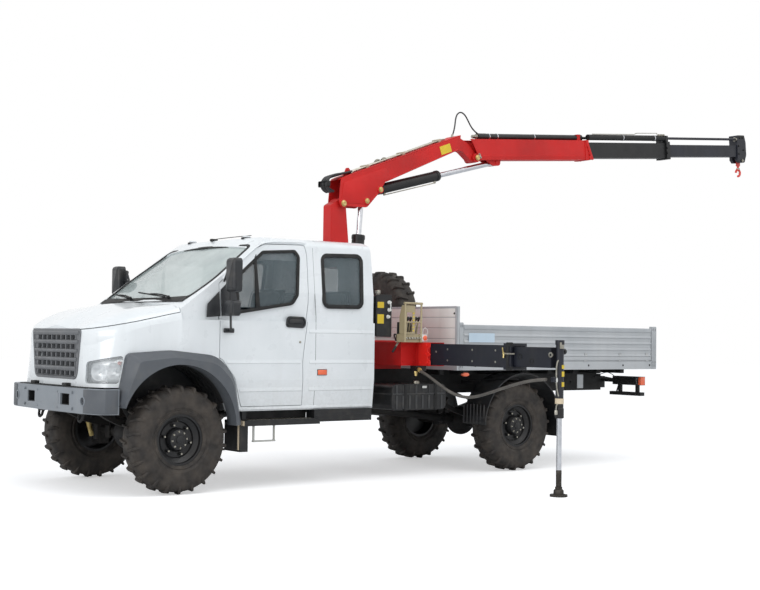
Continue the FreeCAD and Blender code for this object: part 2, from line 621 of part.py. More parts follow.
def make_bumper():
    """A pressed steel bumper, wrapped back at its ends, with tow and lamp openings."""
    outer = [(665, -1050), (850, -1050, 150), (905, -780, 700), (930, 0, 3000), (905, 780, 700),
             (850, 1050, 150), (665, 1050), (665, 990), (800, 990, 90), (850, 760, 600), (872, 0, 3000),
             (850, -760, 600), (800, -990, 90), (665, -990)]
    beam = pad("BumperBeam", "z", outer, "cab_bottom", 240)
    tools = []
    for number, y in enumerate((-400, 400)):
        tools.append(box(f"TowOpening{number}", (750, y - 95, 860), (250, 190, 110)))
    for number, y in enumerate((-770, 770)):
        tools.append(rod(f"LampOpening{number}", 36, (700, y, 910), (1000, y, 910)))
    return finish(cut("Bumper", beam, tools), "bumper")


# ---------------------------------------------------------------- lower body
def make_side_steps():
    """Running boards with stirrup steps, the rear sills and the front mudflaps."""
    pieces = []
    for side, sign in (("Left", 1), ("Right", -1)):
        def low(y, width):
            return y if sign > 0 else -y - width
        pieces.append(box("RearSill" + side, (-2330, low(880, 150), 660), (750, 150, 130)))
        pieces.append(box("Board" + side, (-1640, low(900, 150), 640), (920, 150, 55)))
        pieces.append(box("BoardHangerFront" + side, (-790, low(900, 60), 690), (50, 60, 100)))
        for end, x in (("Front", -845), ("Rear", -1090)):
            pieces.append(box("Stirrup" + end + side, (x, low(1020, 18), 485), (18, 18, 160)))
        pieces.append(box("StirrupTread" + side, (-1090, low(1010, 40), 478), (263, 40, 16)))
        pieces.append(box("FlapPlate" + side, (-790, low(700, 300), 380), (95, 300, 312)))
        pieces.append(box("FlapHanger" + side, (-780, low(840, 60), 690), (60, 60, 100)))
    return finish(fuse("SideSteps", pieces), "side_steps")


def make_chassis_boxes():
    """The fuel tank on the left rail and the battery box on the right one."""
    outline = [(-3410, 750, 60), (-2630, 750, 60), (-2630, 1035, 60), (-3410, 1035, 60)]
    tank = pad("Tank", "y", outline, 560, 440)
    straps = [box(f"TankStrap{n}", (x, 430, 940), (60, 195, 60)) for n, x in enumerate((-3250, -2850))]
    battery = pad("Battery", "y", [(-3300, 760, 25), (-2640, 760, 25), (-2640, 1030, 25), (-3300, 1030, 25)],
                  -980, 420)
    shelf = [box(f"BatteryStrap{n}", (x, -625, 940), (60, 195, 60)) for n, x in enumerate((-3200, -2800))]
    return finish(fuse("ChassisBoxes", [tank, battery] + straps + shelf), "chassis_boxes")


def make_rear_mudguards():
    """Curved guards over the rear wheels, with flaps, on stays from the rails."""
    hub, rear = dim("tyre_radius"), -dim("wheelbase")
    pieces = []
    for side, sign in (("Left", 1), ("Right", -1)):
        low = 740 if sign > 0 else -1130
        outer = Part.makeCylinder(622, 390, Vector(rear, low, hub), Vector(0, 1, 0))
        inner = Part.makeCylinder(608, 392, Vector(rear, low - 1, hub), Vector(0, 1, 0))
        above = Part.makeBox(1400, 400, 900, Vector(rear - 700, low - 5, hub + 70))
        guard = outer.cut(inner).common(above)
        pieces.append(solid("Guard" + side, guard))
        for end, x, bottom in (("Front", rear + 600, 560), ("Rear", rear - 614, 390)):
            pieces.append(box("Flap" + end + side, (x, low, bottom), (14, 390, 650 - bottom)))
        for end, x in (("Front", rear + 330), ("Rear", rear - 370)):
            start = 430 if sign > 0 else -760
            pieces.append(box("Stay" + end + side, (x, start, 1010), (40, 330, 40)))
    return finish(fuse("RearMudguards", pieces), "rear_mudguards")


def make_rear_lamps():
    """Tail lamps and split under-run bars on brackets from the rails' ends."""
    pieces = []
    for side, sign in (("Left", 1), ("Right", -1)):
        def low(y, width):
            return y if sign > 0 else -y - width
        pieces.append(box("LampBody" + side, (-6690, low(620, 470), 980), (90, 470, 110)))
        pieces.append(box("LampArm" + side, (-6640, low(425, 200), 1010), (40, 200, 40)))
        pieces.append(box("UnderrunBar" + side, (-6690, low(560, 520), 845), (80, 520, 45)))
        for end, y in (("Inner", 690), ("Outer", 980)):
            pieces.append(box("BarHanger" + end + side, (-6670, low(y, 40), 885), (40, 40, 100)))
        pieces.append(box("RailEnd" + side, (-6660, low(360, 70), 930), (80, 70, 150)))
    return finish(fuse("RearLamps", pieces), "rear_lamps")


# ---------------------------------------------------------------- bed
def make_bed():
    """The fixed bed: floor on an edge frame, headboard and corner posts."""
    front, rear, half = dim("bed_front"), dim("bed_rear"), dim("bed_half_width")
    length = rear - front
    pieces = [box("EdgeFrame", (-rear, -half, "bed_bottom"), (length, 2 * half, 100)),
              box("Headboard", (-front - 40, -half, "bed_bottom"), (40, 2 * half, "headboard_top - bed_bottom"))]
    hollow = box("EdgeHollow", (-rear + 40, -half + 60, 1180), (length - 80, 2 * half - 120, 80))
    frame = cut("BedFrame", pieces[0], [hollow])
    posts = []
    for end, x in (("Front", -front - 90), ("Rear", -rear)):
        for side, y in (("Left", half - 35), ("Right", -half)):
            posts.append(box("Post" + end + side, (x, y, "bed_bottom"),
                             (90 if end == "Rear" else 55, 35, "post_top - bed_bottom")))
    runners = [box(f"Bearer{n}", (x, -half + 30, "bed_bottom"), (60, 2 * half - 60, 70))
               for n, x in enumerate((-6300, -5600, -4900, -4200, -3600))]
    stay = rod("SpareStay", 58, (-front - 35, -430, 1825), (-3637.9, -430, 1825))
    return finish(fuse("Bed", [frame, pieces[1], stay] + posts + runners), "bed")


def make_boards():
    """The drop sides and the tailgate, each hinged along its lower edge."""
    front, rear, half = dim("bed_front"), dim("bed_rear"), dim("bed_half_width")
    thick = dim("board_thickness")
    start, end = -rear + 98, -front - 98
    for side, sign in (("left", 1), ("right", -1)):
        low = half - thick if sign > 0 else -half + 6
        pieces = [box("Board_" + side, (start, low, "bed_floor + 6"),
                      (end - start, "board_thickness - 6", "board_height"))]
        for number in range(5):
            rib_low = half - 7 if sign > 0 else -half
            pieces.append(box(f"BoardRib{number}_{side}", (start, rib_low, 1300 + number * 82),
                              (end - start, 7, 66)))
        finish(fuse("SideBoard_" + side, pieces), "side_board_" + side)
    pieces = [box("Gate", (-rear + 6, -half + 43, "bed_floor + 6"),
                  ("board_thickness - 6", 2 * half - 86, "board_height"))]
    for number in range(5):
        pieces.append(box(f"GateRib{number}", (-rear, -half + 43, 1300 + number * 82), (7, 2 * half - 86, 66)))
    finish(fuse("Tailgate", pieces), "tailgate")


# ---------------------------------------------------------------- crane
def make_crane_base():
    """The red base: two outrigger channels side by side, the slew pedestal and the mounting feet."""
    wide, low, high = dim("channel_width"), dim("channel_bottom"), dim("channel_height")
    end, wall = dim("channel_end"), dim("channel_wall")
    pieces, bores = [], []
    for name, x, start, stop in (("Front", -3000, -end, 950), ("Rear", -3000 - wide, -950, end)):
        pieces.append(box("Channel" + name, (x, start, low), (wide, stop - start, high)))
        closed_start = start + 10 if name == "Rear" else start - 1
        closed_stop = stop - 10 if name == "Front" else stop + 1
        bores.append(box("Bore" + name, (x + wall, closed_start, low + wall),
                         (wide - 2 * wall, closed_stop - closed_start, high - 2 * wall)))
    channels = cut("Channels", fuse("ChannelPair", pieces), bores)
    slew = -dim("slew_x")
    pedestal = rod("Pedestal", 170, (slew, 0, low + high), (slew, 0, 1540))
    skirt = box("PedestalPlate", (-3205, -330, low + high - 1), (410, 660, 16))
    port = box("HosePort", (-3080, 950, 1180), (150, 95, 61))
    feet = []
    for side, y in (("Left", 350), ("Right", -440)):
        feet.append(box("Foot" + side, (-3205, y, 1190), (560, 90, 51)))
    nose = box("BaseNose", (-2796, -195, 1238), (76, 390, 262))
    return finish(fuse("CraneBase", [channels, pedestal, skirt, nose, port] + feet), "crane_base")


def make_console():
    """The hand levers on their valve block, in a tube guard at the left of the base."""
    block = box("ValveBlock", (-2960, 960, 1500), (240, 130, 90))
    pieces = [block, box("ConsoleArm", (-2960, 900, 1500), (160, 80, 12))]
    for number in range(6):
        x = -2935 + number * 38
        pieces.append(rod(f"Lever{number}", 6, (x, 1040, 1580), (x, 1075, 1760)))
    for number, x in enumerate((-2950, -2722)):
        pieces.append(rod(f"GuardPost{number}", 11, (x, 1105, 1500), (x, 1105, 1930)))
        pieces.append(rod(f"GuardFoot{number}", 9, (x, 1105, 1530), (x, 1040, 1530)))
    pieces.append(rod("GuardTop", 13, (-2963, 1105, 1927), (-2709, 1105, 1927)))
    pieces.append(rod("GuardMiddle", 8, (-2950, 1105, 1720), (-2722, 1105, 1720)))
    return finish(fuse("Console", pieces), "crane_console")


def make_oil_tank():
    """The crane's oil tank upright behind the cab, on a post and arm from the left rail."""
    tank = pad("OilTank", "y", [(-2610, 1560, 20), (-2410, 1560, 20), (-2410, 2010, 20), (-2610, 2010, 20)],
               480, 520)
    post = box("TankPost", (-2530, 700, 1060), (60, 60, 520))
    arm = box("TankArm", (-2530, 430, 1060), (60, 330, 60))
    return finish(fuse("OilTankGroup", [tank, post, arm]), "oil_tank")


def make_column():
    """The slewing column: a tube post in the base, a cranked box above it and the boom's pivot."""
    slew, half = -dim("slew_x"), dim("column_half_width")
    flange = rod("ColumnFlange", 165, (slew, 0, 1546), (slew, 0, 1600))
    post = rod("ColumnPost", "post_radius", (slew, 0, 1546), (slew, 0, 2430))
    web = pad("ColumnBox", "y", [(-2440, 2340, 20), (-2440, 3060, 30), (-2540, 3122, 30), (-2652, 3060, 40),
                                 (-2700, 2600), (-2780, 2340)], -half, 2 * half)
    pivot = rod("ColumnPivot", 66, (-2589, -half, 3084), (-2589, half, 3084))
    plate = pad("ColumnPlate", "z", [(-2410, -half), (-2410, half), (-2850, 128), (-2850, -128)], 2336, 60)
    body = fuse("ColumnSolid", [flange, post, web, pivot, plate])
    bore = rod("ColumnBore", "post_bore", (slew, 0, 1620), (slew, 0, 2700))
    pivot_hole = rod("ColumnPivotHole", 31, (BOOM_PIVOT[0], -200, BOOM_PIVOT[1]),
                     (BOOM_PIVOT[0], 200, BOOM_PIVOT[1]))
    column = cut("ColumnBored", body, [bore, pivot_hole])
    cross = rod("LiftFootPin", 22, (LIFT_FOOT[0], -125, 1700), (LIFT_FOOT[0], 125, 1700))
    return finish(fuse("Column", [column, cross]), "column")


LIFT_FOOT = (-2815, 1700)
LIFT_HEAD = (-2925, 3138)
FOLD_FOOT = (-3124, 3286)
FOLD_HEAD = (-5022, 3791)
BOOM_PIVOT = (-2589, 3084)
KNUCKLE = (-4660, 3810)


def cylinder_pair(label, foot, head, barrel_radius, barrel_length, rod_length, eye_half, head_half):
    """A hydraulic cylinder as two sub-parts: the bored barrel with its eye, and the rod with its eye."""
    base, tip = Vector(foot[0], 0, foot[1]), Vector(head[0], 0, head[1])
    along = (tip - base).normalize()
    side = Vector(0, eye_half, 0)
    radius = dim(barrel_radius)
    bore = dim("rod_radius") + 3
    barrel = rod(label + "Tube", barrel_radius, base + along * (radius * 0.6), base + along * barrel_length)
    eye = rod(label + "Eye", radius * 0.7, base - side, base + side)
    hole = rod(label + "Bore", bore, base + along * 160, base + along * (barrel_length + 10))
    pin_hole = rod(label + "PinHole", 23, base - side * 1.2, base + side * 1.2)
    finish(cut(label + "Barrel", fuse(label + "BarrelSolid", [barrel, eye]), [hole, pin_hole]),
           label + "_barrel")
    shaft = rod(label + "Shaft", "rod_radius", tip - along * rod_length, tip)
    reach = Vector(0, head_half, 0)
    head_eye = rod(label + "HeadEye", 46, tip - reach, tip + reach)
    finish(fuse(label + "RodSolid", [shaft, head_eye]), label + "_rod")


def make_inner_boom():
    """The inner boom: a hollow box, deep at the column, with a narrow arm to the knuckle pin."""
    half, wall = dim("boom_half_width"), dim("boom_wall")
    side = [(-2523, 3056, 60), (-2931, 3062, 60), (-3088, 3225, 60), (-3197, 3381, 40), (-4356, 3884),
            (-4374, 4062), (-2553, 3376, 60)]
    outer = pad("InnerBoomSides", "y", side, -half, 2 * half)
    lower = [(-2400, 2900), (-3250, 2900), (-3210, 3400), (-4340, 3896), (-4360, 4042), (-2548, 3358),
             (-2400, 3300)]
    hollow = pad("InnerBoomHollow", "y", lower, -half + wall, 2 * half - 2 * wall)
    shell = cut("InnerBoomShell", outer, [hollow])
    arm = pad("KnuckleArm", "y", [(-4200, 3830), (-4200, 3990), (-4374, 4050, 30), (-4530, 3985, 50),
                                  (-4700, 3850, 40), (-4700, 3768, 40), (-4600, 3768, 60),
                                  (-4440, 3880, 60)], -55, 110)
    boss = rod("KnuckleBoss", 58, (KNUCKLE[0], -55, KNUCKLE[1]), (KNUCKLE[0], 55, KNUCKLE[1]))
    knuckle_hole = rod("KnuckleHole", 27, (KNUCKLE[0], -80, KNUCKLE[1]), (KNUCKLE[0], 80, KNUCKLE[1]))
    arm_web = cut("KnuckleArmBored", fuse("KnuckleArmSolid", [arm, boss]), [knuckle_hole])
    pins = []
    for name, (x, z), radius in (("Pivot", BOOM_PIVOT, 30), ("FoldPin", FOLD_FOOT, 22)):
        pins.append(rod("Inner" + name, radius, (x, -half - 14, z), (x, half + 14, z)))
    for name, start in (("Left", 84), ("Right", -half - 14)):
        pins.append(rod("InnerLiftPin" + name, 22, (LIFT_HEAD[0], start, LIFT_HEAD[1]),
                        (LIFT_HEAD[0], start + 40, LIFT_HEAD[1])))
    tab = pad("SlingEye", "y", [(-2660, 3400), (-2790, 3452), (-2735, 3520, 20), (-2700, 3515, 20)], -8, 16)
    end_plate = pad("BoomEnd", "y", [(-4330, 3880), (-4330, 4035), (-4372, 4050), (-4356, 3886)], -half, 2 * half)
    group = fuse("InnerBoom", [shell, arm_web, tab, end_plate] + pins)
    return finish(group, "inner_boom")


def along_boom(piece):
    """Lay a piece drawn along a level boom, from the knuckle pin out to +X, on the outer boom's line."""
    turn = FreeCAD.Rotation(Vector(0, 0, 1), 180)
    lift = FreeCAD.Rotation(Vector(0, 1, 0), dim("boom_angle"))
    place = FreeCAD.Placement(Vector(KNUCKLE[0] + dim("front_axle"), 0, KNUCKLE[1]), lift * turn)
    piece.Placement = place
    return piece


def boom_part(pieces, node):
    """Fuse pieces drawn along the level boom into one sub-part laid on the boom's line."""
    group = fuse(node + "Group", pieces)
    along_boom(group)
    group.Label = node
    SUBPARTS.append(group)
    return group


def make_outer_boom():
    """The red outer boom, its cylinder and clamp, and the two black extensions with the tip head."""
    half, high = dim("outer_half_width"), dim("outer_height")
    low = -26
    side = [(48, low, 12), (-85, low + high, 12), (2004, low + high, 12), (2094, low, 12)]
    body = pad("OuterSides", "y", side, -half, 2 * half)
    hollow = box("OuterHollow", (-200, -half + 9, low + 9), (2400, 2 * half - 18, high - 18))
    slot = box("OuterSlot", (-120, -68, low + high - 60), (260, 136, 100))
    under_slot = box("OuterUnderSlot", (-20, -68, low - 20), (110, 136, 60))
    fold = fold_head_local()
    eye_room = box("OuterEyeRoom", (fold[0] - 90, -42, low - 10), (190, 84, 30))
    shell = cut("OuterShell", body, [hollow, slot, under_slot, eye_room])
    bosses, holes = [], []
    for name, y in (("Left", 62), ("Right", -92)):
        bosses.append(rod("KnuckleEye" + name, 56, (0, y, 0), (0, y + 30, 0)))
    pin = rod("KnucklePin", 26, (0, -half - 10, 0), (0, half + 10, 0))
    for name, y in (("Left", 42), ("Right", -62)):
        lug = pad("FoldLug" + name, "y", [(fold[0] - 190, low + 5), (fold[0] + 75, low + 5),
                                          (fold[0] + 60, fold[1] - 45, 40), (fold[0] - 60, fold[1] - 45, 40)],
                  y, 20)
        bosses.append(lug)
    for name, y in (("Left", 42), ("Right", -70)):
        bosses.append(rod("FoldHeadPin" + name, 22, (fold[0], y, fold[1]), (fold[0], y + 28, fold[1])))
    barrel = rod("StageOneBarrel", "extension_barrel_radius", (160, 45, 281), (2000, 45, 281))
    bore = rod("StageOneBore", "extension_rod_radius + 2", (200, 45, 281), (2010, 45, 281))
    mount = box("StageOneMount", (170, 30, low + high - 5), (90, 30, 20))
    clamp = box("BoomClamp", (1930, 5, low + high - 5), (60, 84, 95))
    pair = cut("StageOneTube", fuse("StageOneSolid", [barrel, mount, clamp]), [bore])
    collar = cut("OuterCollar", box("OuterCollarBlock", (1960, -half - 8, low - 8), (70, 2 * half + 16, high + 10)),
                 [box("OuterCollarHole", (1950, -half + 9, low + 9), (90, 2 * half - 18, high - 18))])
    boom_part([shell, pin, pair, collar] + bosses, "outer_boom")

    centre = low + high / 2
    first = box("FirstBeam", (1650, -76, centre - 105), (2010, 152, 210))
    first_hollow = box("FirstHollow", (1640, -68, centre - 97), (2100, 136, 194))
    first_collar = box("FirstCollar", (3640, -100, centre - 125), (75, 200, 250))
    bracket = box("FirstBracket", (3640, -90, centre + 100), (50, 180, 110))
    second_barrel = rod("StageTwoBarrel", "extension_barrel_radius", (2090, -45, 281), (3645, -45, 281))
    second_bore = rod("StageTwoBore", "extension_rod_radius + 2", (2120, -45, 281), (3760, -45, 281))
    second_mount = box("StageTwoMount", (3570, -58, centre + 100), (60, 26, 60))
    first_rod = rod("StageOneRod", "extension_rod_radius", (1700, 45, 281), (3650, 45, 281))
    shell = cut("FirstShell", fuse("FirstSolid", [first, first_collar, bracket, second_barrel, second_mount]),
                [first_hollow, second_bore])
    boom_part([shell, first_rod], "extension_1")

    second = box("SecondBeam", (3300, -60, centre - 85), (2000, 120, 170))
    second_hollow = box("SecondHollow", (3290, -52, centre - 77), (1990, 104, 154))
    head = pad("TipHead", "y", [(5285, centre - 130, 15), (5330, centre - 175, 20), (5450, centre - 175, 30),
                                (5500, centre - 60, 30), (5500, centre + 130, 20), (5470, 340, 15),
                                (5300, 340, 15), (5300, centre + 120, 10)], -75, 150)
    second_rod = rod("StageTwoRod", "extension_rod_radius", (3540, -45, 281), (5310, -45, 281))
    hook_gap = box("HookGap", (5270, -26, centre - 190), (240, 52, 110))
    body = cut("SecondShell", fuse("SecondSolid", [second, head]), [second_hollow, hook_gap])
    hook_pin = rod("HookPin", 14, (5390, -80, centre - 145), (5390, 80, centre - 145))
    boom_part([body, second_rod, hook_pin], "extension_2")
    make_hook(centre)


def make_hook(centre):
    """The load hook: a shackle on the tip's pin, a swivel and the forged hook, hanging plumb."""
    angle = math.radians(dim("boom_angle"))
    x = KNUCKLE[0] - 5390 * math.cos(angle) + (centre - 145) * math.sin(angle)
    z = KNUCKLE[1] + 5390 * math.sin(angle) + (centre - 145) * math.cos(angle)
    link = pad("HookLink", "y", [(x - 30, z - 80, 10), (x + 30, z - 80, 10), (x + 32, z + 30, 28),
                                 (x - 32, z + 30, 28)], -16, 32)
    link_hole = rod("HookLinkHole", 15, (x, -30, z), (x, 30, z))
    shank = rod("HookShank", 17, (x, 0, z - 60), (x, 0, z - 135))
    arc = doc.addObject("Part::Torus", "HookBow")
    arc.Radius1 = 48
    arc.Radius2 = 17
    arc.Angle3 = 270
    arc.Placement = FreeCAD.Placement(Vector(x, 0, z - 180), FreeCAD.Rotation(Vector(1, 0, 0), 90))
    return finish(fuse("Hook", [cut("HookEye", link, [link_hole]), shank, arc]), "hook")


def fold_head_local():
    """The fold cylinder's rod pin, in the level boom's own coordinates."""
    angle = math.radians(dim("boom_angle"))
    dx, dz = FOLD_HEAD[0] - KNUCKLE[0], FOLD_HEAD[1] - KNUCKLE[1]
    return (-dx * math.cos(angle) + dz * math.sin(angle), dx * math.sin(angle) + dz * math.cos(angle))


# ---------------------------------------------------------------- outriggers
def make_outriggers():
    """On each side a sleeve, a beam with its leg tube, and a jack with its foot on the ground."""
    wide, low, high = dim("channel_width"), dim("channel_bottom"), dim("channel_height")
    for side, sign, x in (("left", 1, -3000 - dim("channel_width")), ("right", -1, -3000)):
        centre_x = x + wide / 2
        centre_z = low + high / 2

        def slab(name, half_x, half_z, start, stop):
            y = start if sign > 0 else -stop
            return box(name + side, (centre_x - half_x, y, centre_z - half_z),
                       (2 * half_x, stop - start, 2 * half_z))
        sleeve = slab("Sleeve", wide / 2 - 14, high / 2 - 14, 1000, 2400)
        collar = slab("SleeveCollar", wide / 2 + 8, high / 2 + 6, 2385, 2500)
        bore = slab("SleeveBore", wide / 2 - 22, high / 2 - 22, 990, 2510)
        finish(cut("OutriggerSleeve_" + side, fuse("SleeveSolid_" + side, [sleeve, collar]), [bore]),
               "outrigger_sleeve_" + side)
        beam = slab("Beam", wide / 2 - 28, high / 2 - 28, 2200, 3030)
        leg_y = sign * dim("leg_reach")
        tube = rod("LegTube_" + side, "leg_radius", (centre_x, leg_y, 775), (centre_x, leg_y, 1535))
        cap = rod("LegCap_" + side, 46, (centre_x, leg_y, 1500), (centre_x, leg_y, 1545))
        tube_bore = rod("LegBore_" + side, "jack_radius + 3", (centre_x, leg_y, 700), (centre_x, leg_y, 1420))
        port_y = leg_y - sign * 20 if sign > 0 else leg_y - 20
        port = box("LegPort_" + side, (centre_x + 30, port_y, 1130), (72, 40, 50))
        finish(cut("OutriggerBeam_" + side, fuse("BeamSolid_" + side, [beam, tube, cap, port]), [tube_bore]),
               "outrigger_beam_" + side)
        jack = rod("JackRod_" + side, "jack_radius", (centre_x, leg_y, 60), (centre_x, leg_y, 940))
        ball = rod("JackBoss_" + side, 36, (centre_x, leg_y, 12), (centre_x, leg_y, 95))
        foot = rod("Foot_" + side, "foot_radius", (centre_x, leg_y, 0), (centre_x, leg_y, 22))
        finish(fuse("Jack_" + side, [jack, ball, foot]), "jack_" + side)


# ---------------------------------------------------------------- hoses
LEG_HOSE = [(-2960, 1050, 1195), (-2956, 1150, 1165), (-2952, 1290, 1110), (-2950, 1430, 1045),
            (-2948, 1570, 985), (-2947, 1720, 940), (-2949, 1880, 925), (-2952, 2040, 945),
            (-2956, 2200, 985), (-2960, 2370, 1032), (-2964, 2540, 1078), (-2968, 2710, 1118),
            (-2972, 2880, 1145), (-2978, 3020, 1155)]
KNUCKLE_HOSE = [(-4330, 0, 4062), (-4352, 0, 4118), (-4370, 0, 4190), (-4378, 0, 4268), (-4402, 0, 4340),
                (-4462, 0, 4376), (-4530, 0, 4350), (-4580, 0, 4290), (-4626, 0, 4222), (-4690, 0, 4160),
                (-4752, 0, 4132)]


def hose_tube(route, radius):
    """A hose as straight runs joined by tangent arcs, and the tightest arc's radius."""
    points = [Vector(*p) for p in route]
    edges, radii = [], []
    here = points[0]
    for before, corner, after in zip(points, points[1:], points[2:]):
        back, ahead = (before - corner), (after - corner)
        reach = 0.45 * min(back.Length, ahead.Length)
        back.normalize()
        ahead.normalize()
        half = back.getAngle(ahead) / 2
        bend = reach * math.tan(half)
        radii.append(bend)
        start, stop = corner + back * reach, corner + ahead * reach
        apex = corner + (back + ahead).normalize() * (bend / math.sin(half) - bend)
        edges.append(Part.LineSegment(here, start).toShape())
        edges.append(Part.Arc(start, apex, stop).toShape())
        here = stop
    edges.append(Part.LineSegment(here, points[-1]).toShape())
    path = Part.Wire(edges)
    circle = Part.Wire([Part.makeCircle(radius, points[0], points[1] - points[0])])
    tube = path.makePipeShell([circle], True, False)
    print("hose length", round(path.Length), "tightest bend", round(min(radii)),
          "volume ratio", round(tube.Volume / (math.pi * radius ** 2 * path.Length), 4))
    return tube


def make_hoses():
    """The two hoses that hang free: one down to the left leg, one over the knuckle."""
    finish(solid("LegHose", hose_tube(LEG_HOSE, 16)), "leg_hose")
    finish(solid("KnuckleHose", hose_tube(KNUCKLE_HOSE, 9)), "knuckle_hose")


# ---------------------------------------------------------------- build, check and write
make_chassis()
make_running_gear()
make_engine()
make_wheels()
make_cab()
make_cab_interior()
make_front_end()
make_side_steps()
make_chassis_boxes()
make_rear_mudguards()
make_rear_lamps()
make_bed()
make_boards()
make_crane_base()
make_console()
make_oil_tank()
make_column()
cylinder_pair("lift", LIFT_FOOT, LIFT_HEAD, "lift_barrel_radius", 1045, 900, 42, 78)
cylinder_pair("fold", FOLD_FOOT, FOLD_HEAD, "fold_barrel_radius", 1010, 1500, 60, 36)
make_inner_boom()
make_outer_boom()
make_outriggers()
make_hoses()
doc.recompute()

faults = [f"{item.Name} {item.State}" for item in doc.Objects
          if "Invalid" in item.State or "Error" in item.State]
for piece in SUBPARTS:
    if piece.Shape.isNull() or not piece.Shape.isValid() or not piece.Shape.Solids:
        faults.append(f"{piece.Label} has no valid solid")
if faults:
    raise RuntimeError("; ".join(faults))

os.makedirs("parts", exist_ok=True)
for piece in SUBPARTS:
    piece.Shape.exportStep(f"parts/{piece.Label}.step")
whole = Part.makeCompound([piece.Shape for piece in SUBPARTS]).BoundBox
print(len(SUBPARTS), "sub-parts; x", round(whole.XMin), round(whole.XMax), "y", round(whole.YMin),
      round(whole.YMax), "z", round(whole.ZMin), round(whole.ZMax))
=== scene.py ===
# %% [markdown]
# # A loader crane lorry, dressed in Blender
# The CAD model is the fixed frame: it gives every size and place.

# %% Open the frame
import json
import math
import bpy
from mathutils import Matrix, Vector

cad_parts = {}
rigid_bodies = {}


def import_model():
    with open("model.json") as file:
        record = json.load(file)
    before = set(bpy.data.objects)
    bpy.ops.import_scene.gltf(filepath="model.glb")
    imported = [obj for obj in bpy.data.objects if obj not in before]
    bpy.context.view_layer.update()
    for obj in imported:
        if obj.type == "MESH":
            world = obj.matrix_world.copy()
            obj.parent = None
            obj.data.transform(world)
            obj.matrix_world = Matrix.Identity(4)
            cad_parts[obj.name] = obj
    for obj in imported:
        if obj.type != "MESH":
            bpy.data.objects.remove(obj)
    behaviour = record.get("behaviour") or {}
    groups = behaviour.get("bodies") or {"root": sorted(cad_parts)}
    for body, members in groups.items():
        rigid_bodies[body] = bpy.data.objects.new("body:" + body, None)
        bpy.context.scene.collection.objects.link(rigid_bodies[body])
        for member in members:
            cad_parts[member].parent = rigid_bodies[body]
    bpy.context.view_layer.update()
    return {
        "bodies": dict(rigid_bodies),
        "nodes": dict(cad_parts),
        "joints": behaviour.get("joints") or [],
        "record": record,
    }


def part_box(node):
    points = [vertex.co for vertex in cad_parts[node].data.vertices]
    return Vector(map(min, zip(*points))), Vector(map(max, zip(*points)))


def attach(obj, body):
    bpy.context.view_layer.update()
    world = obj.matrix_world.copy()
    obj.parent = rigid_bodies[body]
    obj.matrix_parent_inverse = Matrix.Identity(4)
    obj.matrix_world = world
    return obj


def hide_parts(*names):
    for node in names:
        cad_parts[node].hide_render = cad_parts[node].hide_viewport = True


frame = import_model()
NODES = frame["nodes"]


def deselect_all():
    for thing in list(bpy.context.selected_objects):
        thing.select_set(False)
    bpy.context.view_layer.objects.active = None


deselect_all()

# %% [markdown]
# Sizes in this lesson are in millimetres, measured from the ground point under the front axle: X forward,
# Y to the lorry's left, Z up. One function turns them into the frame's metres, and the axle comes from
# the box of a front tyre, so the lesson follows the CAD if the wheelbase ever changes.

# %% Places in the lorry's own millimetres
MM = 0.001


def box_centre(node):
    low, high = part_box(node)
    return (low + high) / 2


FRONT_AXLE = box_centre("tyre_front_left").x


def at(x, y, z):
    """A point given in the lorry's millimetres, in the frame's metres."""
    return Vector((FRONT_AXLE + x * MM, y * MM, z * MM))


def spots(*places):
    return [at(*place) for place in places]


print("front axle at x =", round(FRONT_AXLE, 4))

# %% [markdown]
# The camera stands about twelve metres to the lorry's left and a little ahead of it, at head height, with
# a long lens, so that the side and the nose both show and the wheels stay nearly round.

# %% The camera
CAMERA_PLACE = at(6294, 12256, 1552)
CAMERA_HEADING = math.radians(142.16)
CAMERA_TILT = math.radians(91.84)
CAMERA_ROLL = 0.0133
LENS = 62.07

camera_data = bpy.data.cameras.new("camera")
camera_data.lens = LENS
camera_data.sensor_width = 36
camera_data.clip_end = 200
camera = bpy.data.objects.new("camera", camera_data)
bpy.context.scene.collection.objects.link(camera)
turn = Matrix.Rotation(CAMERA_HEADING, 4, "Z") @ Matrix.Rotation(CAMERA_TILT, 4, "X")
camera.matrix_world = Matrix.Translation(CAMERA_PLACE) @ turn @ Matrix.Rotation(CAMERA_ROLL, 4, "Z")
bpy.context.scene.camera = camera
print("camera", round((CAMERA_PLACE - at(-2000, 0, 1500)).length, 2), "m from the middle of the lorry")

# %% [markdown]
# Every finish is a node tree. One small function adds a node with its settings and its links, and another
# turns the hex colours of a paint card into the linear numbers that the renderer adds up.

# %% Nodes and colours
def linear(hex_colour):
    """An sRGB hex colour such as "c8281f" as linear red, green, blue and alpha."""
    channels = [int(hex_colour[i:i + 2], 16) / 255 for i in (0, 2, 4)]
    return tuple(c / 12.92 if c <= 0.04045 else ((c + 0.055) / 1.055) ** 2.4 for c in channels) + (1.0,)


def add_node(tree, kind, values=None, links=None, **settings):
    """Add a node, set its properties and socket values, and link its sockets to other outputs."""
    node = tree.nodes.new(kind)
    for name, setting in settings.items():
        setattr(node, name, setting)
    for socket, value in (values or {}).items():
        node.inputs[socket].default_value = value
    for socket, source in (links or {}).items():
        tree.links.new(source, node.inputs[socket])
    return node


def start_material(name):
    """An empty node material, and an object-coordinate output to feed its patterns."""
    material = bpy.data.materials.new(name)
    material.use_nodes = True
    tree = material.node_tree
    tree.nodes.clear()
    place = add_node(tree, "ShaderNodeTexCoord").outputs["Object"]
    return material, tree, place


def noise(tree, place, size_mm, detail=3.0, stretch=(1, 1, 1)):
    """A noise pattern whose patches are about size_mm across."""
    scale = add_node(tree, "ShaderNodeMapping", {"Scale": stretch}, {"Vector": place})
    return add_node(tree, "ShaderNodeTexNoise", {"Scale": 1000 / size_mm, "Detail": detail},
        {"Vector": scale.outputs["Vector"]}).outputs["Fac"]


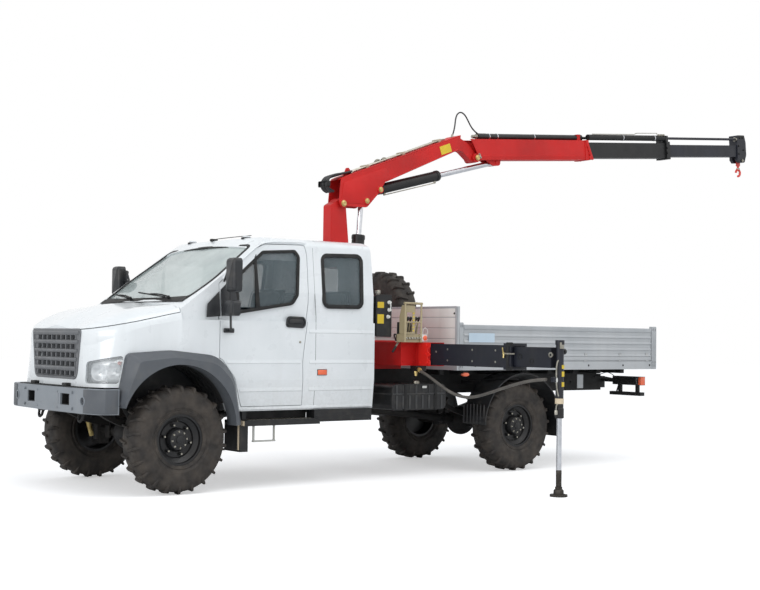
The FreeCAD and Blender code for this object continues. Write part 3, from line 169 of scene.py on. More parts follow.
def ramp(tree, source, low, high, to_low=0.0, to_high=1.0):
    """A value squeezed from low..high into to_low..to_high."""
    return add_node(tree, "ShaderNodeMapRange", {"From Min": low, "From Max": high, "To Min": to_low,
        "To Max": to_high}, {"Value": source}).outputs["Result"]


def mix_colour(tree, factor, first, second):
    """Blend two colours, each a hex string or another node's output."""
    node = tree.nodes.new("ShaderNodeMix")
    node.data_type = "RGBA"
    tree.links.new(factor, node.inputs["Factor"])
    for socket, colour in (("A", first), ("B", second)):
        target = [s for s in node.inputs if s.name == socket and s.type == "RGBA"][0]
        if isinstance(colour, str):
            target.default_value = linear(colour)
        else:
            tree.links.new(colour, target)
    return [s for s in node.outputs if s.type == "RGBA"][0]


def close_material(tree, values, links):
    """The surface shader at the end of a tree."""
    shader = add_node(tree, "ShaderNodeBsdfPrincipled", values, links)
    add_node(tree, "ShaderNodeOutputMaterial", None, {"Surface": shader.outputs["BSDF"]})


def bump(tree, height, strength, depth_mm):
    return add_node(tree, "ShaderNodeBump", {"Strength": strength, "Distance": depth_mm * MM},
        {"Height": height}).outputs["Normal"]


# %% [markdown]
# Sprayed enamel on steel is smooth, with a hard clear gloss over an even colour. On a working lorry it
# is never quite even: thin dust settles in patches, rain draws faint streaks down it, and the lower
# edge is dirtier than the roof. The orange-peel ripple of the spray breaks reflections a little; the
# real ripple is 2 mm across and is drawn at 12 mm, so that it still shows from ten metres away.

# %% Sprayed enamel
DUST = "8d8578"


def sprayed_enamel(name, colour, shade, dust=0.10, road_dirt=0.0, rough=0.28, coat=0.6):
    """Glossy paint: a base colour with a slightly darker shade, dust in patches and dirt low down."""
    material, tree, place = start_material(name)
    patch = ramp(tree, noise(tree, place, 420), 0.35, 0.75)
    painted = mix_colour(tree, patch, colour, shade)
    streaks = ramp(tree, noise(tree, place, 90, 4, (1, 1, 0.12)), 0.5, 0.85, 0.0, dust)
    facing = add_node(tree, "ShaderNodeNewGeometry").outputs["Normal"]
    upward = add_node(tree, "ShaderNodeSeparateXYZ", None, {"Vector": facing}).outputs["Z"]
    on_walls = ramp(tree, upward, 0.3, 0.7, 1.0, 0.25)
    streaked = add_node(tree, "ShaderNodeMath", None, {0: streaks, 1: on_walls},
        operation="MULTIPLY").outputs[0]
    dusty = mix_colour(tree, streaked, painted, DUST)
    height = add_node(tree, "ShaderNodeSeparateXYZ", None, {"Vector": place}).outputs["Z"]
    low = ramp(tree, height, 0.55, 1.25, road_dirt, 0.0)
    speckle = ramp(tree, noise(tree, place, 35, 6), 0.35, 0.7, 0.3, 1.0)
    dirt = add_node(tree, "ShaderNodeMath", None, {0: low, 1: speckle}, operation="MULTIPLY").outputs[0]
    colour_out = mix_colour(tree, dirt, dusty, DUST)
    gloss = ramp(tree, noise(tree, place, 150, 5), 0.3, 0.8, rough, rough + 0.14)
    ripple = bump(tree, noise(tree, place, 12, 1), 0.06, 0.3)
    close_material(tree, {"Coat Weight": coat, "Coat Roughness": 0.08, "IOR": 1.5},
                   {"Base Color": colour_out, "Roughness": gloss, "Normal": ripple})
    return material


CAB_WHITE = sprayed_enamel("cab_white_sprayed_enamel", "e8ecee", "e0e5e7", 0.07, 0.30, 0.25, 0.6)
CRANE_RED = sprayed_enamel("crane_red_sprayed_enamel", "cc120e", "b50e0a", 0.02, 0.04, 0.5, 0.0)
CRANE_NAVY = sprayed_enamel("outrigger_navy_sprayed_enamel", "0e1322", "090d18", 0.04, 0.08, 0.42, 0.05)
CRANE_BLACK = sprayed_enamel("crane_black_sprayed_enamel", "0c0d0f", "08090a", 0.03, 0.04, 0.45, 0.04)
BED_GREY = sprayed_enamel("bed_grey_sprayed_enamel", "b9bcbe", "adb1b4", 0.12, 0.2, 0.42, 0.12)
BUMPER_GREY = sprayed_enamel("bumper_grey_sprayed_enamel", "868d94", "7a8188", 0.12, 0.2, 0.4, 0.15)
BEIGE_ENAMEL = sprayed_enamel("console_beige_sprayed_enamel", "b3a583", "a39573", 0.1, 0.1, 0.4, 0.3)

# %% [markdown]
# The chassis, axles and engine are iron and steel under a thin black or grey coat that the road has
# sanded and dusted. Cast pieces are pebbly, rolled rails are smoother. Roughness stays high, and brown
# dust and a little rust replace the gloss.

# %% Black chassis coat and cast iron
def underbody(name, colour, dust_colour, rust="5a3a26", grain_mm=25, rust_amount=0.25, rough=0.55):
    """A matt coat on iron with dust in patches, rust specks and a cast grain."""
    material, tree, place = start_material(name)
    dusted = mix_colour(tree, ramp(tree, noise(tree, place, 300, 5), 0.4, 0.8, 0.0, 0.6), colour, dust_colour)
    specks = ramp(tree, noise(tree, place, 18, 6), 0.62, 0.75, 0.0, rust_amount)
    worn = mix_colour(tree, specks, dusted, rust)
    gloss = ramp(tree, noise(tree, place, 90, 4), 0.3, 0.8, rough, rough + 0.25)
    grain = bump(tree, noise(tree, place, grain_mm, 5), 0.3, 1.2)
    close_material(tree, {"Metallic": 0.15}, {"Base Color": worn, "Roughness": gloss, "Normal": grain})
    return material


CHASSIS_BLACK = underbody("chassis_black_dip_coat", "141516", "2c2a27", rust_amount=0.15)
AXLE_IRON = underbody("axle_painted_cast_iron", "1a1a1b", "38332c", grain_mm=14, rust_amount=0.3)
ENGINE_IRON = underbody("engine_cast_iron", "35373a", "4b4741", grain_mm=10)
RIM_BLACK = underbody("rim_black_stove_enamel", "18191b", "2b2826", grain_mm=8, rust_amount=0.05, rough=0.3)

# %% [markdown]
# Bumper caps, wheel-arch flares, mirrors and boxes are injection-moulded plastic. The mould is etched, so
# the surface has a fine leather grain and a soft, even sheen. The etched grain is about 1 mm across; it
# is drawn at 5 mm here so that it still shows.

# %% Moulded plastic
def moulded_plastic(name, colour, shade, grain_mm=5.0, rough=0.5, dust=0.12):
    material, tree, place = start_material(name)
    base = mix_colour(tree, ramp(tree, noise(tree, place, 260, 4), 0.35, 0.75), colour, shade)
    dusty = mix_colour(tree, ramp(tree, noise(tree, place, 110, 6), 0.5, 0.85, 0.0, dust), base, DUST)
    cells = add_node(tree, "ShaderNodeTexVoronoi", {"Scale": 1000 / grain_mm}, {"Vector": place},
        feature="F1").outputs["Distance"]
    gloss = ramp(tree, noise(tree, place, 70, 3), 0.3, 0.8, rough - 0.06, rough + 0.12)
    close_material(tree, {"IOR": 1.46}, {"Base Color": dusty, "Roughness": gloss,
        "Normal": bump(tree, cells, 0.25, 0.5)})
    return material


FLARE_GREY = moulded_plastic("flare_grey_moulded_plastic", "5a5e63", "505459", 6)
BOX_BLACK = moulded_plastic("box_black_moulded_plastic", "1c1d1f", "151617", 6, 0.42)
MIRROR_BLACK = moulded_plastic("mirror_dark_moulded_plastic", "2a2c2f", "232528", 4, 0.4, 0.15)
GRILLE_DARK = moulded_plastic("grille_dark_moulded_plastic", "6e7073", "626467", 4, 0.45, 0.2)
SEAL_RUBBER = moulded_plastic("window_seal_extruded_rubber", "0e0f10", "141516", 3, 0.6, 0.1)
TRIM_BEIGE = moulded_plastic("flap_beige_moulded_plastic", "b9ae99", "a89e8a", 5, 0.55, 0.2)

# %% [markdown]
# Tyre rubber is moulded, matt and slightly brown where the carbon black has weathered. Dust sits in the
# tread grooves and on the sidewall, and fine rings from the mould run round the sidewall.

# %% Moulded rubber
def rubber(name, colour, dusty, grain_mm, rough=0.75):
    material, tree, place = start_material(name)
    dust = ramp(tree, noise(tree, place, 130, 6), 0.35, 0.8, 0.0, 0.75)
    base = mix_colour(tree, dust, colour, dusty)
    gloss = ramp(tree, noise(tree, place, 50, 4), 0.3, 0.7, rough - 0.12, rough + 0.12)
    close_material(tree, {"IOR": 1.5}, {"Base Color": base, "Roughness": gloss,
        "Normal": bump(tree, noise(tree, place, grain_mm, 6), 0.35, 1.0)})
    return material


TYRE_RUBBER = rubber("tyre_moulded_rubber", "24211f", "544c44", 12)
HOSE_RUBBER = rubber("hose_moulded_rubber", "1a1b1d", "2a2b2e", 8, 0.5)
HOSE_WRAP = rubber("hose_spiral_guard_nylon", "514e4a", "75716a", 10, 0.55)

# %% [markdown]
# Hydraulic rods and chrome rings are hard-chromed and ground: a clean metal with only a faint grinding
# line. Zinc-plated bolts and pipes are duller, with a slightly yellow bloom.

# %% Ground and plated metal
def bare_metal(name, colour, shade, rough, grain_mm=6.0):
    material, tree, place = start_material(name)
    base = mix_colour(tree, ramp(tree, noise(tree, place, 45, 5), 0.35, 0.75), colour, shade)
    gloss = ramp(tree, noise(tree, place, 25, 5), 0.3, 0.7, rough, rough + 0.15)
    close_material(tree, {"Metallic": 1.0}, {"Base Color": base, "Roughness": gloss,
        "Normal": bump(tree, noise(tree, place, grain_mm, 4), 0.1, 0.2)})
    return material


ROD_CHROME = bare_metal("rod_ground_hard_chrome", "d8dade", "c2c5ca", 0.10)
ZINC_STEEL = bare_metal("bolt_zinc_plated_steel", "b3b0a6", "8e8a7e", 0.32)
BRASS = bare_metal("fitting_turned_brass", "dcc88c", "bda468", 0.3)
MIRROR_GLASS = bare_metal("mirror_silvered_glass", "c9d2d8", "bcc6cc", 0.04)

# %% [markdown]
# Window glass lets light through with a faint green-grey tint and reflects the sky at a slant. A thin
# film of the tint colour covers a share of each pane in patches and dulls it a little; on the windscreen
# this film is nearly white, a painted reflection of the sky.

# %% Glass and lenses
def pane_glass(name, tint, shade="6f7c80", clear=0.75, rough=0.03):
    """See-through glazing: a glossy face over a tinted, mostly clear one. The tinted share is an opaque film;
    a pale tint makes it a painted reflection.
    """
    material, tree, place = start_material(name)
    # Patchy opacity of the tint film: on the pale windscreen this film is painted reflection.
    dust = ramp(tree, noise(tree, place, 240, 5), 0.35, 0.8, 1.0 - clear, 1.12 - clear)
    tinted = mix_colour(tree, ramp(tree, noise(tree, place, 500, 2), 0.3, 0.7), tint, shade)
    close_material(tree, {"Roughness": rough, "IOR": 1.5, "Specular IOR Level": 0.6},
        {"Base Color": tinted, "Alpha": dust})
    return material


def lens_plastic(name, colour, rough=0.12, glow=0.3):
    """A moulded lens with the ribs of its optics as a bump, and white mixed into its colour along the ribs as
    a painted highlight.
    """
    material, tree, place = start_material(name)
    ribs = add_node(tree, "ShaderNodeTexWave", {"Scale": 20.0, "Distortion": 0.0}, {"Vector": place},
                    wave_type="BANDS", bands_direction="Z").outputs["Fac"]
    # Painted highlight: up to the glow share of white mixed in along the rib bands.
    base = mix_colour(tree, ramp(tree, ribs, 0.2, 0.8, 0.0, glow), colour, "ffffff")
    close_material(tree, {"Roughness": rough, "IOR": 1.49, "Coat Weight": 0.5},
                   {"Base Color": base, "Normal": bump(tree, ribs, 0.3, 1.0)})
    return material


WINDOW_GLASS = pane_glass("window_tinted_float_glass", "59666b", "66757a", 0.62)
# Painted reflection: the windscreen's nearly white tint stands in for the sky and light seen in the glass.
WINDSCREEN_GLASS = pane_glass("windscreen_laminated_glass", "e2ecea", "cfdbd9", 0.5)
LAMP_LENS = pane_glass("headlamp_clear_polycarbonate", "f4f7f8", "e3e9ec", 0.8)
LAMP_SILVER = bare_metal("lamp_vacuum_coated_reflector", "fbfcfd", "eceff1", 0.28)
AMBER_LENS = lens_plastic("marker_amber_acrylic", "f25a00", 0.05, 0.12)
RED_LENS = lens_plastic("tail_red_acrylic", "b01217", 0.15, 0.1)
CLEAR_LENS = lens_plastic("lamp_clear_acrylic", "c9ced2", 0.15, 0.3)

# %% [markdown]
# Seats are woven cloth over foam, and the dash is grained plastic. The cloth's threads are 1.5 mm apart;
# the weave is drawn at 6 mm so that it reads through the glass.

# %% Woven seat cloth
def woven_cloth(name, colour, shade):
    material, tree, place = start_material(name)
    warp = add_node(tree, "ShaderNodeTexWave", {"Scale": 80.0, "Distortion": 0.6}, {"Vector": place},
                    wave_type="BANDS", bands_direction="Y").outputs["Fac"]
    weft = add_node(tree, "ShaderNodeTexWave", {"Scale": 80.0, "Distortion": 0.6}, {"Vector": place},
                    wave_type="BANDS", bands_direction="Z").outputs["Fac"]
    weave = add_node(tree, "ShaderNodeMath", None, {0: warp, 1: weft}, operation="MULTIPLY").outputs[0]
    base = mix_colour(tree, weave, colour, shade)
    gloss = ramp(tree, weave, 0.0, 1.0, 0.82, 0.95)
    close_material(tree, {"Sheen Weight": 0.3}, {"Base Color": base, "Roughness": gloss,
        "Normal": bump(tree, weave, 0.5, 0.8)})
    return material


SEAT_CLOTH = woven_cloth("seat_woven_cloth", "3a3d42", "25272b")
DASH_PLASTIC = moulded_plastic("dash_grained_plastic", "2f3135", "292b2e", 5, 0.6, 0.1)
PLATE_YELLOW = sprayed_enamel("blank_plate_yellow_film", "e0c22a", "cfb01f", 0.08, 0.0, 0.4, 0.2)

# %% [markdown]
# Each CAD node that stays takes the finish of its material slot, and a table keeps the usual slot of each
# finish.

# %% Dress the CAD nodes
FINISHES = {"cab_white": CAB_WHITE, "crane_red": CRANE_RED, "crane_black": CRANE_BLACK,
    "outrigger_navy": CRANE_NAVY, "chassis_black": CHASSIS_BLACK, "bumper_grey": BUMPER_GREY,
    "bed_grey": BED_GREY, "flare_grey": FLARE_GREY, "box_black": BOX_BLACK, "window_glass": WINDOW_GLASS,
    "lamp_lens": LAMP_LENS, "tail_lens": RED_LENS, "tyre_rubber": TYRE_RUBBER, "rim_black": RIM_BLACK,
    "axle_iron": AXLE_IRON, "engine_iron": ENGINE_IRON, "seat_fabric": SEAT_CLOTH,
    "cylinder_black": CRANE_BLACK, "rod_chrome": ROD_CHROME, "hook_steel": CRANE_RED,
    "console_beige": BEIGE_ENAMEL, "mirror_black": MIRROR_BLACK, "hose_rubber": HOSE_RUBBER, }
USUAL_SLOT = {finish.name: slot for slot, finish in reversed(FINISHES.items())}


def usual_slot(slot, *finishes):
    for finish in finishes:
        USUAL_SLOT[finish.name] = slot


usual_slot("mirror_black", SEAL_RUBBER)
usual_slot("rod_chrome", ZINC_STEEL, BRASS, MIRROR_GLASS, LAMP_SILVER)
usual_slot("lamp_lens", AMBER_LENS, CLEAR_LENS)
usual_slot("flare_grey", GRILLE_DARK)
usual_slot("box_black", DASH_PLASTIC)
usual_slot("console_beige", PLATE_YELLOW, TRIM_BEIGE)
usual_slot("chassis_black", AXLE_IRON)
for node in NODES.values():
    for slot in node.material_slots:
        slot.material = FINISHES[slot.material.name.split(".")[0]]


def refinish_faces(node, finish, test):
    """Give another finish to the faces of a CAD node whose centre passes a test; its shape stays."""
    mesh = NODES[node].data
    mesh.materials.append(finish)
    for face in mesh.polygons:
        if test(face.center):
            face.material_index = len(mesh.materials) - 1


refinish_faces("cab_glass", WINDSCREEN_GLASS, lambda spot: spot.x > at(-1000, 0, 0).x)
NODES["grille"].material_slots[0].material = GRILLE_DARK
NODES["rear_lamps"].material_slots[0].material = CHASSIS_BLACK
print("dressed", len(NODES), "nodes in", len(FINISHES), "finishes")

# %% [markdown]
# ## Small bench tools
# A new piece starts as a primitive, is shaped in edit mode by operators, and ends at the origin with its
# place in its mesh. These few helpers do the repeated parts of that: start a block or a rod, pick faces
# by where they are, bevel, spin a section, and hand a finished piece to its body.

# %% Start and finish a piece
def active():
    return bpy.context.view_layer.objects.active


def only(thing):
    deselect_all()
    thing.select_set(True)
    bpy.context.view_layer.objects.active = thing


def settle(thing):
    """Move the object's place, turn and scale into its mesh."""
    only(thing)
    bpy.ops.object.transform_apply(location=True, rotation=True, scale=True)
    return thing


def block(name, centre, size):
    """A rectangular start, centred at a point in metres, with its size in millimetres."""
    deselect_all()
    bpy.ops.mesh.primitive_cube_add(size=1, location=centre)
    piece = active()
    piece.name = name
    piece.scale = [s * MM for s in size]
    return settle(piece)


def rod(name, start, end, radius, sides=24):
    """A round start between two points in metres, with its radius in millimetres."""
    deselect_all()
    way = end - start
    bpy.ops.mesh.primitive_cylinder_add(vertices=sides, radius=radius * MM, depth=way.length,
        location=(start + end) / 2, rotation=way.to_track_quat("Z", "Y").to_euler())
    piece = active()
    piece.name = name
    return settle(piece)


def add_modifier(piece, kind, **settings):
    """Add a modifier, set it and apply it."""
    only(piece)
    modifier = piece.modifiers.new(kind, kind)
    for name, setting in settings.items():
        setattr(modifier, name, setting)
    bpy.ops.object.modifier_apply(modifier=modifier.name)
    return piece


def soften(piece, width, segments=2, angle=30):
    """Round every edge sharper than the angle, by a width in millimetres."""
    add_modifier(piece, "BEVEL", width=width * MM, segments=segments, limit_method="ANGLE",
                 angle_limit=math.radians(angle), harden_normals=False)
    return piece


def smooth(piece, angle=35):
    only(piece)
    bpy.ops.object.shade_smooth_by_angle(angle=math.radians(angle))
    return piece


def join(name, pieces):
    """One object from several, under one name."""
    deselect_all()
    for piece in pieces:
        piece.select_set(True)
    bpy.context.view_layer.objects.active = pieces[0]
    if len(pieces) > 1:
        bpy.ops.object.join()
    pieces[0].name = name
    return pieces[0]


def copy_of(piece, move=(0, 0, 0), turn=None):
    """A copy with its own mesh, moved by metres and turned by a matrix if one is given."""
    twin = piece.copy()
    twin.data = piece.data.copy()
    bpy.context.scene.collection.objects.link(twin)
    if turn is not None:
        twin.data.transform(turn)
    twin.data.transform(Matrix.Translation(Vector(move)))
    return twin


def mirrored(piece):
    """A copy on the lorry's other side, with its faces pointing outwards again."""
    twin = copy_of(piece)
    twin.data.transform(Matrix.Scale(-1, 4, (0, 1, 0)))
    twin.data.flip_normals()
    return twin


def face_out(piece):
    """Recalculate a closed mesh's normals outwards, after its doubles are merged."""
    only(piece)
    bpy.ops.object.mode_set(mode="EDIT")
    bpy.ops.mesh.select_all(action="SELECT")
    bpy.ops.mesh.remove_doubles(threshold=0.00001)
    bpy.ops.mesh.normals_make_consistent(inside=False)
    bpy.ops.object.mode_set(mode="OBJECT")
    return piece


def pick_faces(piece, test):
    """Select the faces whose centre and normal pass a test, and stay in edit mode."""
    only(piece)
    bpy.ops.object.mode_set(mode="EDIT")
    bpy.ops.mesh.select_mode(type="FACE")
    bpy.ops.mesh.select_all(action="DESELECT")
    bpy.ops.object.mode_set(mode="OBJECT")
    for face in piece.data.polygons:
        face.select = bool(test(face.center, face.normal))
    bpy.ops.object.mode_set(mode="EDIT")


def leave_edit():
    bpy.ops.object.mode_set(mode="OBJECT")


def outline(name, points, fill="NGON"):
    """A circle of as many vertices as there are points, each then moved to its point in metres."""
    deselect_all()
    bpy.ops.mesh.primitive_circle_add(vertices=len(points), radius=MM, fill_type=fill)
    piece = active()
    piece.name = name
    for vertex, point in zip(piece.data.vertices, points):
        vertex.co = point
    return piece


def loft(name, sections):
    """A closed form through like-numbered sections: the first face is extruded and reshaped to each next."""
    piece = outline(name, sections[0])
    only(piece)
    for section in sections[1:]:
        bpy.ops.object.mode_set(mode="EDIT")
        bpy.ops.mesh.extrude_region_move(TRANSFORM_OT_translate={"value": (0, 0, 0)})
        bpy.ops.object.mode_set(mode="OBJECT")
        top = [face for face in piece.data.polygons if face.select][0]
        for index, point in zip(top.vertices, section):
            piece.data.vertices[index].co = point
    return face_out(piece)


def slab(name, points, thickness):
    """A plate: an outline extruded along a vector given in millimetres."""
    piece = outline(name, points)
    only(piece)
    bpy.ops.object.mode_set(mode="EDIT")
    bpy.ops.mesh.select_all(action="SELECT")
    bpy.ops.mesh.extrude_region_move(TRANSFORM_OT_translate={"value": Vector(thickness) * MM})
    leave_edit()
    return face_out(piece)


def spun(name, profile, centre, axis, steps=64):
    """A section turned about an axis. Profile points are (along the axis, radius) in millimetres."""
    across = Vector((0, 0, 1)) if abs(axis.z) < 0.9 else Vector((1, 0, 0))
    across = (across - axis * across.dot(axis)).normalized()
    points = [centre + axis * (a * MM) + across * (r * MM) for a, r in profile]
    piece = outline(name, points, "NOTHING")
    only(piece)
    bpy.ops.object.mode_set(mode="EDIT")
    bpy.ops.mesh.select_all(action="SELECT")
    bpy.ops.mesh.spin(steps=steps, angle=math.tau, center=centre, axis=axis)
    leave_edit()
    return face_out(piece)


def pipe(name, points, radius, sides=8, smooth_line=True):
    """A tube through points in metres, made a mesh with capped ends; radius in millimetres."""
    curve = bpy.data.curves.new(name, "CURVE")
    curve.dimensions = "3D"
    curve.bevel_depth = radius * MM
    curve.bevel_resolution = max(0, sides // 4 - 1)
    curve.use_fill_caps = True
    line = curve.splines.new("NURBS" if smooth_line else "POLY")
    line.points.add(len(points) - 1)
    for spot, point in zip(line.points, points):
        spot.co = (*point, 1)
    if smooth_line:
        line.order_u = min(3, len(points))
        line.use_endpoint_u = True
        line.resolution_u = 6
    piece = bpy.data.objects.new(name, curve)
    bpy.context.scene.collection.objects.link(piece)
    only(piece)
    bpy.ops.object.convert(target="MESH")
    return face_out(active())


def ready(piece, finish, body="lorry", angle=35, replaces=()):
    """Give a piece its finish, smooth its round faces and let it ride on its body."""
    piece.data.materials.clear()
    piece.data.materials.append(finish)
    smooth(piece, angle)
    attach(piece, body)
    if replaces:
        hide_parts(*replaces)
    deselect_all()
    return piece


def hex_bolt(name, centre, axis, across, height):
    """A hexagon head with its washer, standing on a face; sizes in millimetres."""
    washer = rod(name + "_washer", centre, centre + axis * (height * 0.25 * MM), across * 0.68, 16)
    head = rod(name, centre, centre + axis * (height * MM), across * 0.5, 6)
    soften(head, across * 0.05, 1)
    return join(name, [head, washer])


X_AXIS, Y_AXIS, Z_AXIS = Vector((1, 0, 0)), Vector((0, 1, 0)), Vector((0, 0, 1))
print("tools ready")

# %% [markdown]
# A few more helpers for bodywork: rounded outlines, the lean of the cab's side, the slope of the
# windscreen, frames between two loops, and a left piece finished together with its mirror image. An
# upright outline lies along the lorry, a crosswise one across it, and a level one flat.

# %% Outlines on the bodywork
def rounded(corners, steps=4):
    """A closed outline as plain points; a third number on a corner is its radius."""
    line = []
    count = len(corners)
    for i, corner in enumerate(corners):
        spot = Vector(corner[:2])
        if len(corner) < 3:
            line.append(tuple(spot))
            continue
        before = (Vector(corners[i - 1][:2]) - spot).normalized()
        after = (Vector(corners[(i + 1) % count][:2]) - spot).normalized()
        half = before.angle(after) / 2
        centre = spot + (before + after).normalized() * (corner[2] / math.sin(half))
        reach = corner[2] / math.tan(half)
        first, last = spot + before * reach - centre, spot + after * reach - centre
        for k in range(steps + 1):
            way = first.lerp(last, k / steps).normalized()
            line.append(tuple(centre + way * corner[2]))
    return line


def box_line(a, b, c, d, radius):
    """The rounded corners of a rectangle between two opposite points."""
    return [(a, b, radius), (c, b, radius), (c, d, radius), (a, d, radius)]


def upright(y, line):
    return [at(x, y, z) for x, z in rounded(line)]


def crosswise(x, line):
    return [at(x, y, z) for y, z in rounded(line)]


def level(z, line):
    return [at(x, y, z) for x, y in rounded(line)]


def grown(line, by):
    """An outline moved outwards from itself by a distance; a negative one moves it inwards."""
    area = sum(a[0] * b[1] - b[0] * a[1] for a, b in zip(line, line[1:] + line[:1]))
    result = []
    for i, spot in enumerate(line):
        before, after = Vector(line[i - 1]), Vector(line[(i + 1) % len(line)])
        along = (after - before).normalized()
        outward = Vector((along.y, -along.x)) * (1 if area > 0 else -1)
        result.append(tuple(Vector(spot) + outward * by))
    return result


def side_y(z):
    """How far the cab's side stands out at a height: upright below the waist, leaning in above it."""
    return 1030 - max(0.0, z - 1745) * 0.1195 - max(0.0, 1100 - z) * 0.097


def on_side(line, proud=0.0):
    """An outline of (x, z) laid on the cab's left side."""
    return [at(x, side_y(z) + proud, z) for x, z in line]


SCREEN_OUT = Vector((0.588, 0, 0.809))


def on_screen(across, up, proud=0.0):
    """A point on the windscreen: across from the centre plane and up its slope from the cowl."""
    back = 105 * (across / 1000) ** 2
    return at(5 - back - 0.8087 * up + 0.588 * proud, across, 1880 + 0.588 * up + 0.809 * proud)


def frame_between(name, outer, inner, thickness):
    """A frame between two loops of as many points, bridged and given a thickness in millimetres."""
    piece = join(name, [outline(name, outer, "NOTHING"), outline(name + "_inner", inner, "NOTHING")])
    only(piece)
    bpy.ops.object.mode_set(mode="EDIT")
    bpy.ops.mesh.select_all(action="SELECT")
    bpy.ops.mesh.bridge_edge_loops()
    bpy.ops.mesh.select_all(action="SELECT")
    bpy.ops.mesh.extrude_region_move(TRANSFORM_OT_translate={"value": Vector(thickness) * MM})
    leave_edit()
    return face_out(piece)


DOORS = ("door_left", "door_right")
LORRY = ("lorry", "lorry")
SIDES = ((1, "left"), (-1, "right"))


def both_sides(piece, finish, bodies=LORRY, angle=35):
    """Finish a piece on the left body and its mirror image on the right one."""
    twin = mirrored(piece)
    twin.name = piece.name.replace("left", "right")
    ready(piece, finish, bodies[0], angle)
    ready(twin, finish, bodies[1], angle)


# %% [markdown]
# ## The two free hoses
# A thick spiral-wrapped hose feeds the left leg: it leaves the crane's base, sags and climbs to the leg's
# head. A thin one loops over the knuckle between the booms. Both are smooth splines through the route's
# points. They come first, because a hose has a real length that the rest has to leave room for.

# %% Hoses
LEG_HOSE_ROUTE = [(-2960, 1050, 1195), (-2956, 1150, 1165), (-2952, 1290, 1110), (-2950, 1430, 1045),
    (-2948, 1570, 985), (-2947, 1720, 940), (-2949, 1880, 925), (-2952, 2040, 945), (-2956, 2200, 985),
    (-2960, 2370, 1032), (-2964, 2540, 1078), (-2968, 2710, 1118), (-2972, 2880, 1145), (-2978, 3020, 1155)]
KNUCKLE_HOSE_ROUTE = [(-4330, 0, 4062), (-4352, 0, 4118), (-4370, 0, 4190), (-4378, 0, 4268),
    (-4402, 0, 4340), (-4462, 0, 4376), (-4530, 0, 4350), (-4580, 0, 4290), (-4626, 0, 4222),
    (-4690, 0, 4160), (-4752, 0, 4132)]
LEG_HOSE_BORE, KNUCKLE_HOSE_BORE = 16, 9


def hose_line(name, route, radius):
    """The hose itself: one open NURBS spline with a round section."""
    curve = bpy.data.curves.new(name, "CURVE")
    curve.dimensions = "3D"
    curve.bevel_depth = radius * MM
    curve.bevel_resolution = 4
    curve.use_fill_caps = True
    curve.resolution_u = 12
    line = curve.splines.new("NURBS")
    line.points.add(len(route) - 1)
    for spot, place in zip(line.points, route):
        spot.co = (*at(*place), 1)
    line.order_u = 3
    line.use_endpoint_u = True
    hose = bpy.data.objects.new(name, curve)
    bpy.context.scene.collection.objects.link(hose)
    return hose


def line_length(hose):
    """The length of the hose's centre line, read from the curve without its bevel."""
    bare = hose.data.copy()
    bare.bevel_depth = 0
    shadow = bpy.data.objects.new("length_probe", bare)
    bpy.context.scene.collection.objects.link(shadow)
    bpy.context.view_layer.update()
    mesh = bpy.data.meshes.new_from_object(shadow)
    total = sum((mesh.vertices[e.vertices[0]].co - mesh.vertices[e.vertices[1]].co).length
        for e in mesh.edges)
    bpy.data.objects.remove(shadow)
    return total


leg_hose = hose_line("leg_supply_hose", LEG_HOSE_ROUTE, LEG_HOSE_BORE)
leg_hose.data.materials.append(HOSE_WRAP)
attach(leg_hose, "lorry")
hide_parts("leg_hose")
line_length(leg_hose)

knuckle_hose = hose_line("knuckle_loop_hose", KNUCKLE_HOSE_ROUTE, KNUCKLE_HOSE_BORE)
knuckle_hose.data.materials.append(HOSE_RUBBER)
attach(knuckle_hose, "inner_boom")
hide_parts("knuckle_hose")
line_length(knuckle_hose)
print("hoses", round(line_length(leg_hose), 3), round(line_length(knuckle_hose), 3), "m")

# %% [markdown]
# ## Tyres
# A cross-country tyre is a round carcass with two staggered rows of tall lugs that meet near the middle
# in a chevron, run over the shoulder and end on the sidewall. Modelling the whole tread as one mesh by
# hand would be slow. The tyre is a ring of like lugs, so one left and one right lug are shaped once and
# copied round, and the carcass is a section turned about the axle.

# %% One tyre
TYRE_RADIUS = (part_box("tyre_front_left")[1].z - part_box("tyre_front_left")[0].z) / 2 / MM
TYRE_HALF = (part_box("tyre_front_left")[1].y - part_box("tyre_front_left")[0].y) / 2 / MM
BEAD = 250
TREAD_DEPTH = 24
LUG_PAIRS = 22


def carcass(name):
    """The round body of a tyre about the Y axis, with mould rings on its sidewalls."""
    crown = TYRE_RADIUS - TREAD_DEPTH
    side = [(-TYRE_HALF + 34, BEAD), (-TYRE_HALF + 20, BEAD + 18), (-TYRE_HALF + 17, BEAD + 30),
            (-TYRE_HALF + 22, BEAD + 36), (-TYRE_HALF + 12, BEAD + 62), (-TYRE_HALF + 8, BEAD + 66),
            (-TYRE_HALF + 8, BEAD + 72), (-TYRE_HALF + 4, BEAD + 100), (-TYRE_HALF + 1, BEAD + 135),
            (-TYRE_HALF + 3, BEAD + 150), (-TYRE_HALF + 3, BEAD + 168), (-TYRE_HALF + 8, BEAD + 205),
            (-TYRE_HALF + 22, crown - 24), (-TYRE_HALF + 52, crown - 4), (-70, crown + 2)]
    profile = side + [(-a, r) for a, r in reversed(side)]
    return spun(name, profile, Vector((0, 0, 0)), Y_AXIS, 88)


